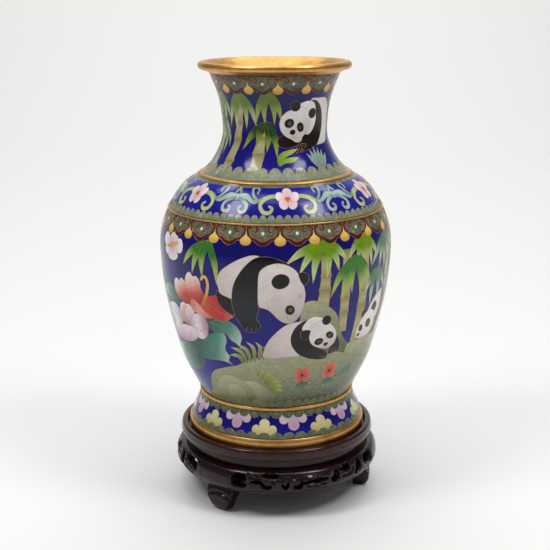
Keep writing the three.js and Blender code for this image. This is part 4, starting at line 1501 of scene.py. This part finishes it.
def climbing_panda(sheet):
    """A panda that looks out from between the stems."""
    sheet.cell(
        [(27, 277.4), (34, 278.2), (43, 277.6), (49, 273), (52, 264), (51, 255), (47, 249), (40, 247.6),
         (32, 248.6), (30, 262)], fade(["#dcd4d1", "#f0ebe9", "#e4dcda"], (30, 250), (46, 276)),
    )
    sheet.cell(
        [(28, 277), (33, 276.2), (38, 272.4), (41.4, 266.4), (42.2, 260), (40.4, 254), (36, 249),
         (30, 246.2), (24, 244.8), (19, 245), (18, 250), (24, 256), (30, 266), (26, 274)],
        fade(["#1c1d21", "#0b0b0d", "#26282c"], (20, 246), (38, 274)),
    )
    sheet.cell(
        [(17, 273.4), (20.6, 276), (26, 276.8), (30.6, 275), (33, 270), (33.8, 264), (31.4, 258.4),
         (26, 254.6), (20, 258)], fade(WHITE, (22, 276), (32, 258)),
    )
    sheet.cell(
        [(3, 253.6), (2, 250), (3.2, 247.8), (8, 246.8), (14, 247.4), (17, 249), (15, 253), (9, 255)],
        fade(["#2b1418", "#160b0e"], (3, 248), (14, 252)),
    )
    sheet.cell(
        [(3.2, 262), (4.6, 266.6), (8.6, 270.2), (13.6, 271.6), (19, 273.2), (24, 271.6), (27.4, 267.4),
         (28.2, 261.6), (25.8, 256.8), (21.4, 253.6), (19.6, 250.6), (15.4, 250.2), (12.4, 252),
         (8.4, 253.8), (4.6, 257.4)],
        fade(["#f2eeec", "#e8e1de", "#d9cfcc"], (12, 271), (18, 251)),
    )
    for x in (16.6, 18.6, 20.6):
        sheet.cell(band([(x + 3, 248.6), (x, 246.6), (x - 1.4, 244)], (1.6, 1.6, 1)), "#101014")
    sheet.cell(oval(14.8, 273.6, 3.9, 3.4), "#0b0b0e")
    sheet.cell(oval(29.6, 268.4, 3.6, 3.4), "#17181c")
    sheet.cell(oval(10.6, 262.6, 3.7, 3, 12), "#101013")
    sheet.cell(oval(10.8, 262.6, 1.2, 1.1), "#4b4642")
    sheet.cell(oval(19.4, 259.8, 2.8, 3.3, 24), "#101013")
    sheet.cell(oval(19.4, 259.8, 1, 1.1), "#4b4642")
    sheet.cell(oval(13.2, 256.8, 2.3, 1.7, 10), "#161417")
    sheet.wire([(13.6, 255.2), (14.2, 253.4), (17.4, 252.8), (19.6, 253.6)])
    sheet.wire([(14.2, 253.4), (12, 253.8)])


def neck_picture(sheet):
    """Half of the neck: stems on the left, the panda on the right."""
    tan = ("#8f8a58", "#bab58c", "#a8a070")
    for line, widths, joints in (
        ([(-25.6, 276), (-28.4, 262), (-31, 249), (-35, 228)], (5, 6, 7.4, 7), (0.3, 0.58, 0.84)),
        ([(-9, 262), (-10.4, 252), (-11.6, 242), (-13, 228)], (6, 7, 8, 7.6), (0.28, 0.62)),
        ([(62, 282), (60, 262), (62, 246), (60, 228)], (5.4, 6, 7, 7), (0.26, 0.52, 0.78)),
        ([(74, 270), (76, 256), (75, 242), (77, 228)], (5.6, 6.4, 7, 7), (0.3, 0.62)),
    ):
        bamboo_stem(sheet, line, widths, joints, tan)
    for crown, tips, wide, colours in (
        ((-47, 282), [(-59, 266), (-52, 261), (-45, 260), (-38, 264)], 4.2, ("#5f8f4a", "#b9cfa0")),
        ((-26, 281.4), [(-38.4, 259), (-31, 255.4), (-22, 258), (-13.4, 259)], 4.4, ("#5a8a2c", "#bccb98")),
        ((-5, 282.4), [(-14, 262), (-7, 260.6), (-0.4, 261), (5, 263)], 4.2, ("#5d7f2c", "#a8b860")),
        ((-48, 264), [(-58, 248), (-51, 240.6), (-44, 240), (-38, 246)], 4.2, ("#4d8a52", "#b4cfae")),
        ((-6, 262.6), [(-24.6, 245), (-14, 247.6), (-6, 244), (1.6, 240.6)], 5, ("#124a14", "#8ba83c")),
        ((61, 283), [(48, 267), (55, 261), (62, 260), (69, 263), (75, 270)], 4.4, ("#4d8a3a", "#b0c878")),
        ((75, 267), [(62, 251), (70, 246), (77, 246), (86, 254)], 4.4, ("#3c7c54", "#a9cba6")),
    ):
        bamboo_spray(sheet, crown, tips, wide, *colours)
    climbing_panda(sheet)
    for outline, start, end in (
        ([(2, 236, 1), (1.4, 240), (4, 243.6), (10, 245.6), (16.4, 246, 1), (12, 243.2), (7, 241)],
         (2, 238), (16, 246)),
        ([(2.6, 235.4, 1), (4, 238.6), (9, 240.8), (16.6, 241, 1), (11.4, 238), (6, 237.4)],
         (3, 236), (16, 241)),
    ):
        sheet.cell(outline, fade(["#6f9a2e", "#b5cc62"], start, end))
    grass(sheet, (31.4, 232), [(22.4, 243), (25.6, 245.4), (29.4, 246.8), (33.4, 246), (37, 244.6),
                               (40.4, 242)], 3,
          ["#5f8a80", "#a9c6bc"])


NECK_HALF_TURN = math.pi * NECK_R
neck = ground(["#161487", "#0e0d66", "#0b0a5a"], 230, 290)
neck_picture(neck)
neck_picture(neck.at(NECK_HALF_TURN, 0))
scales(neck, NECK_R, 33, 228.6, 6.2, fade(["#8a9c86", "#aebaa2"], (0, 228), (0, 235)))
neck.cell(
    [(-NECK_HALF_TURN - 9, 291.6, 1), (NECK_HALF_TURN + 9, 291.6, 1), (NECK_HALF_TURN + 9, 296, 1),
     (-NECK_HALF_TURN - 9, 296, 1)], fade(SAGE, (0, 290), (0, 294)), mottled=0.8,
)
ruyi_border(neck, NECK_R, 13, 2, 292.4, 0.93)
fire("neck_enamel", "neck_enamel", neck, NECK_LINE, NECK_R, 227.4, 293.2, 1.7, 9)
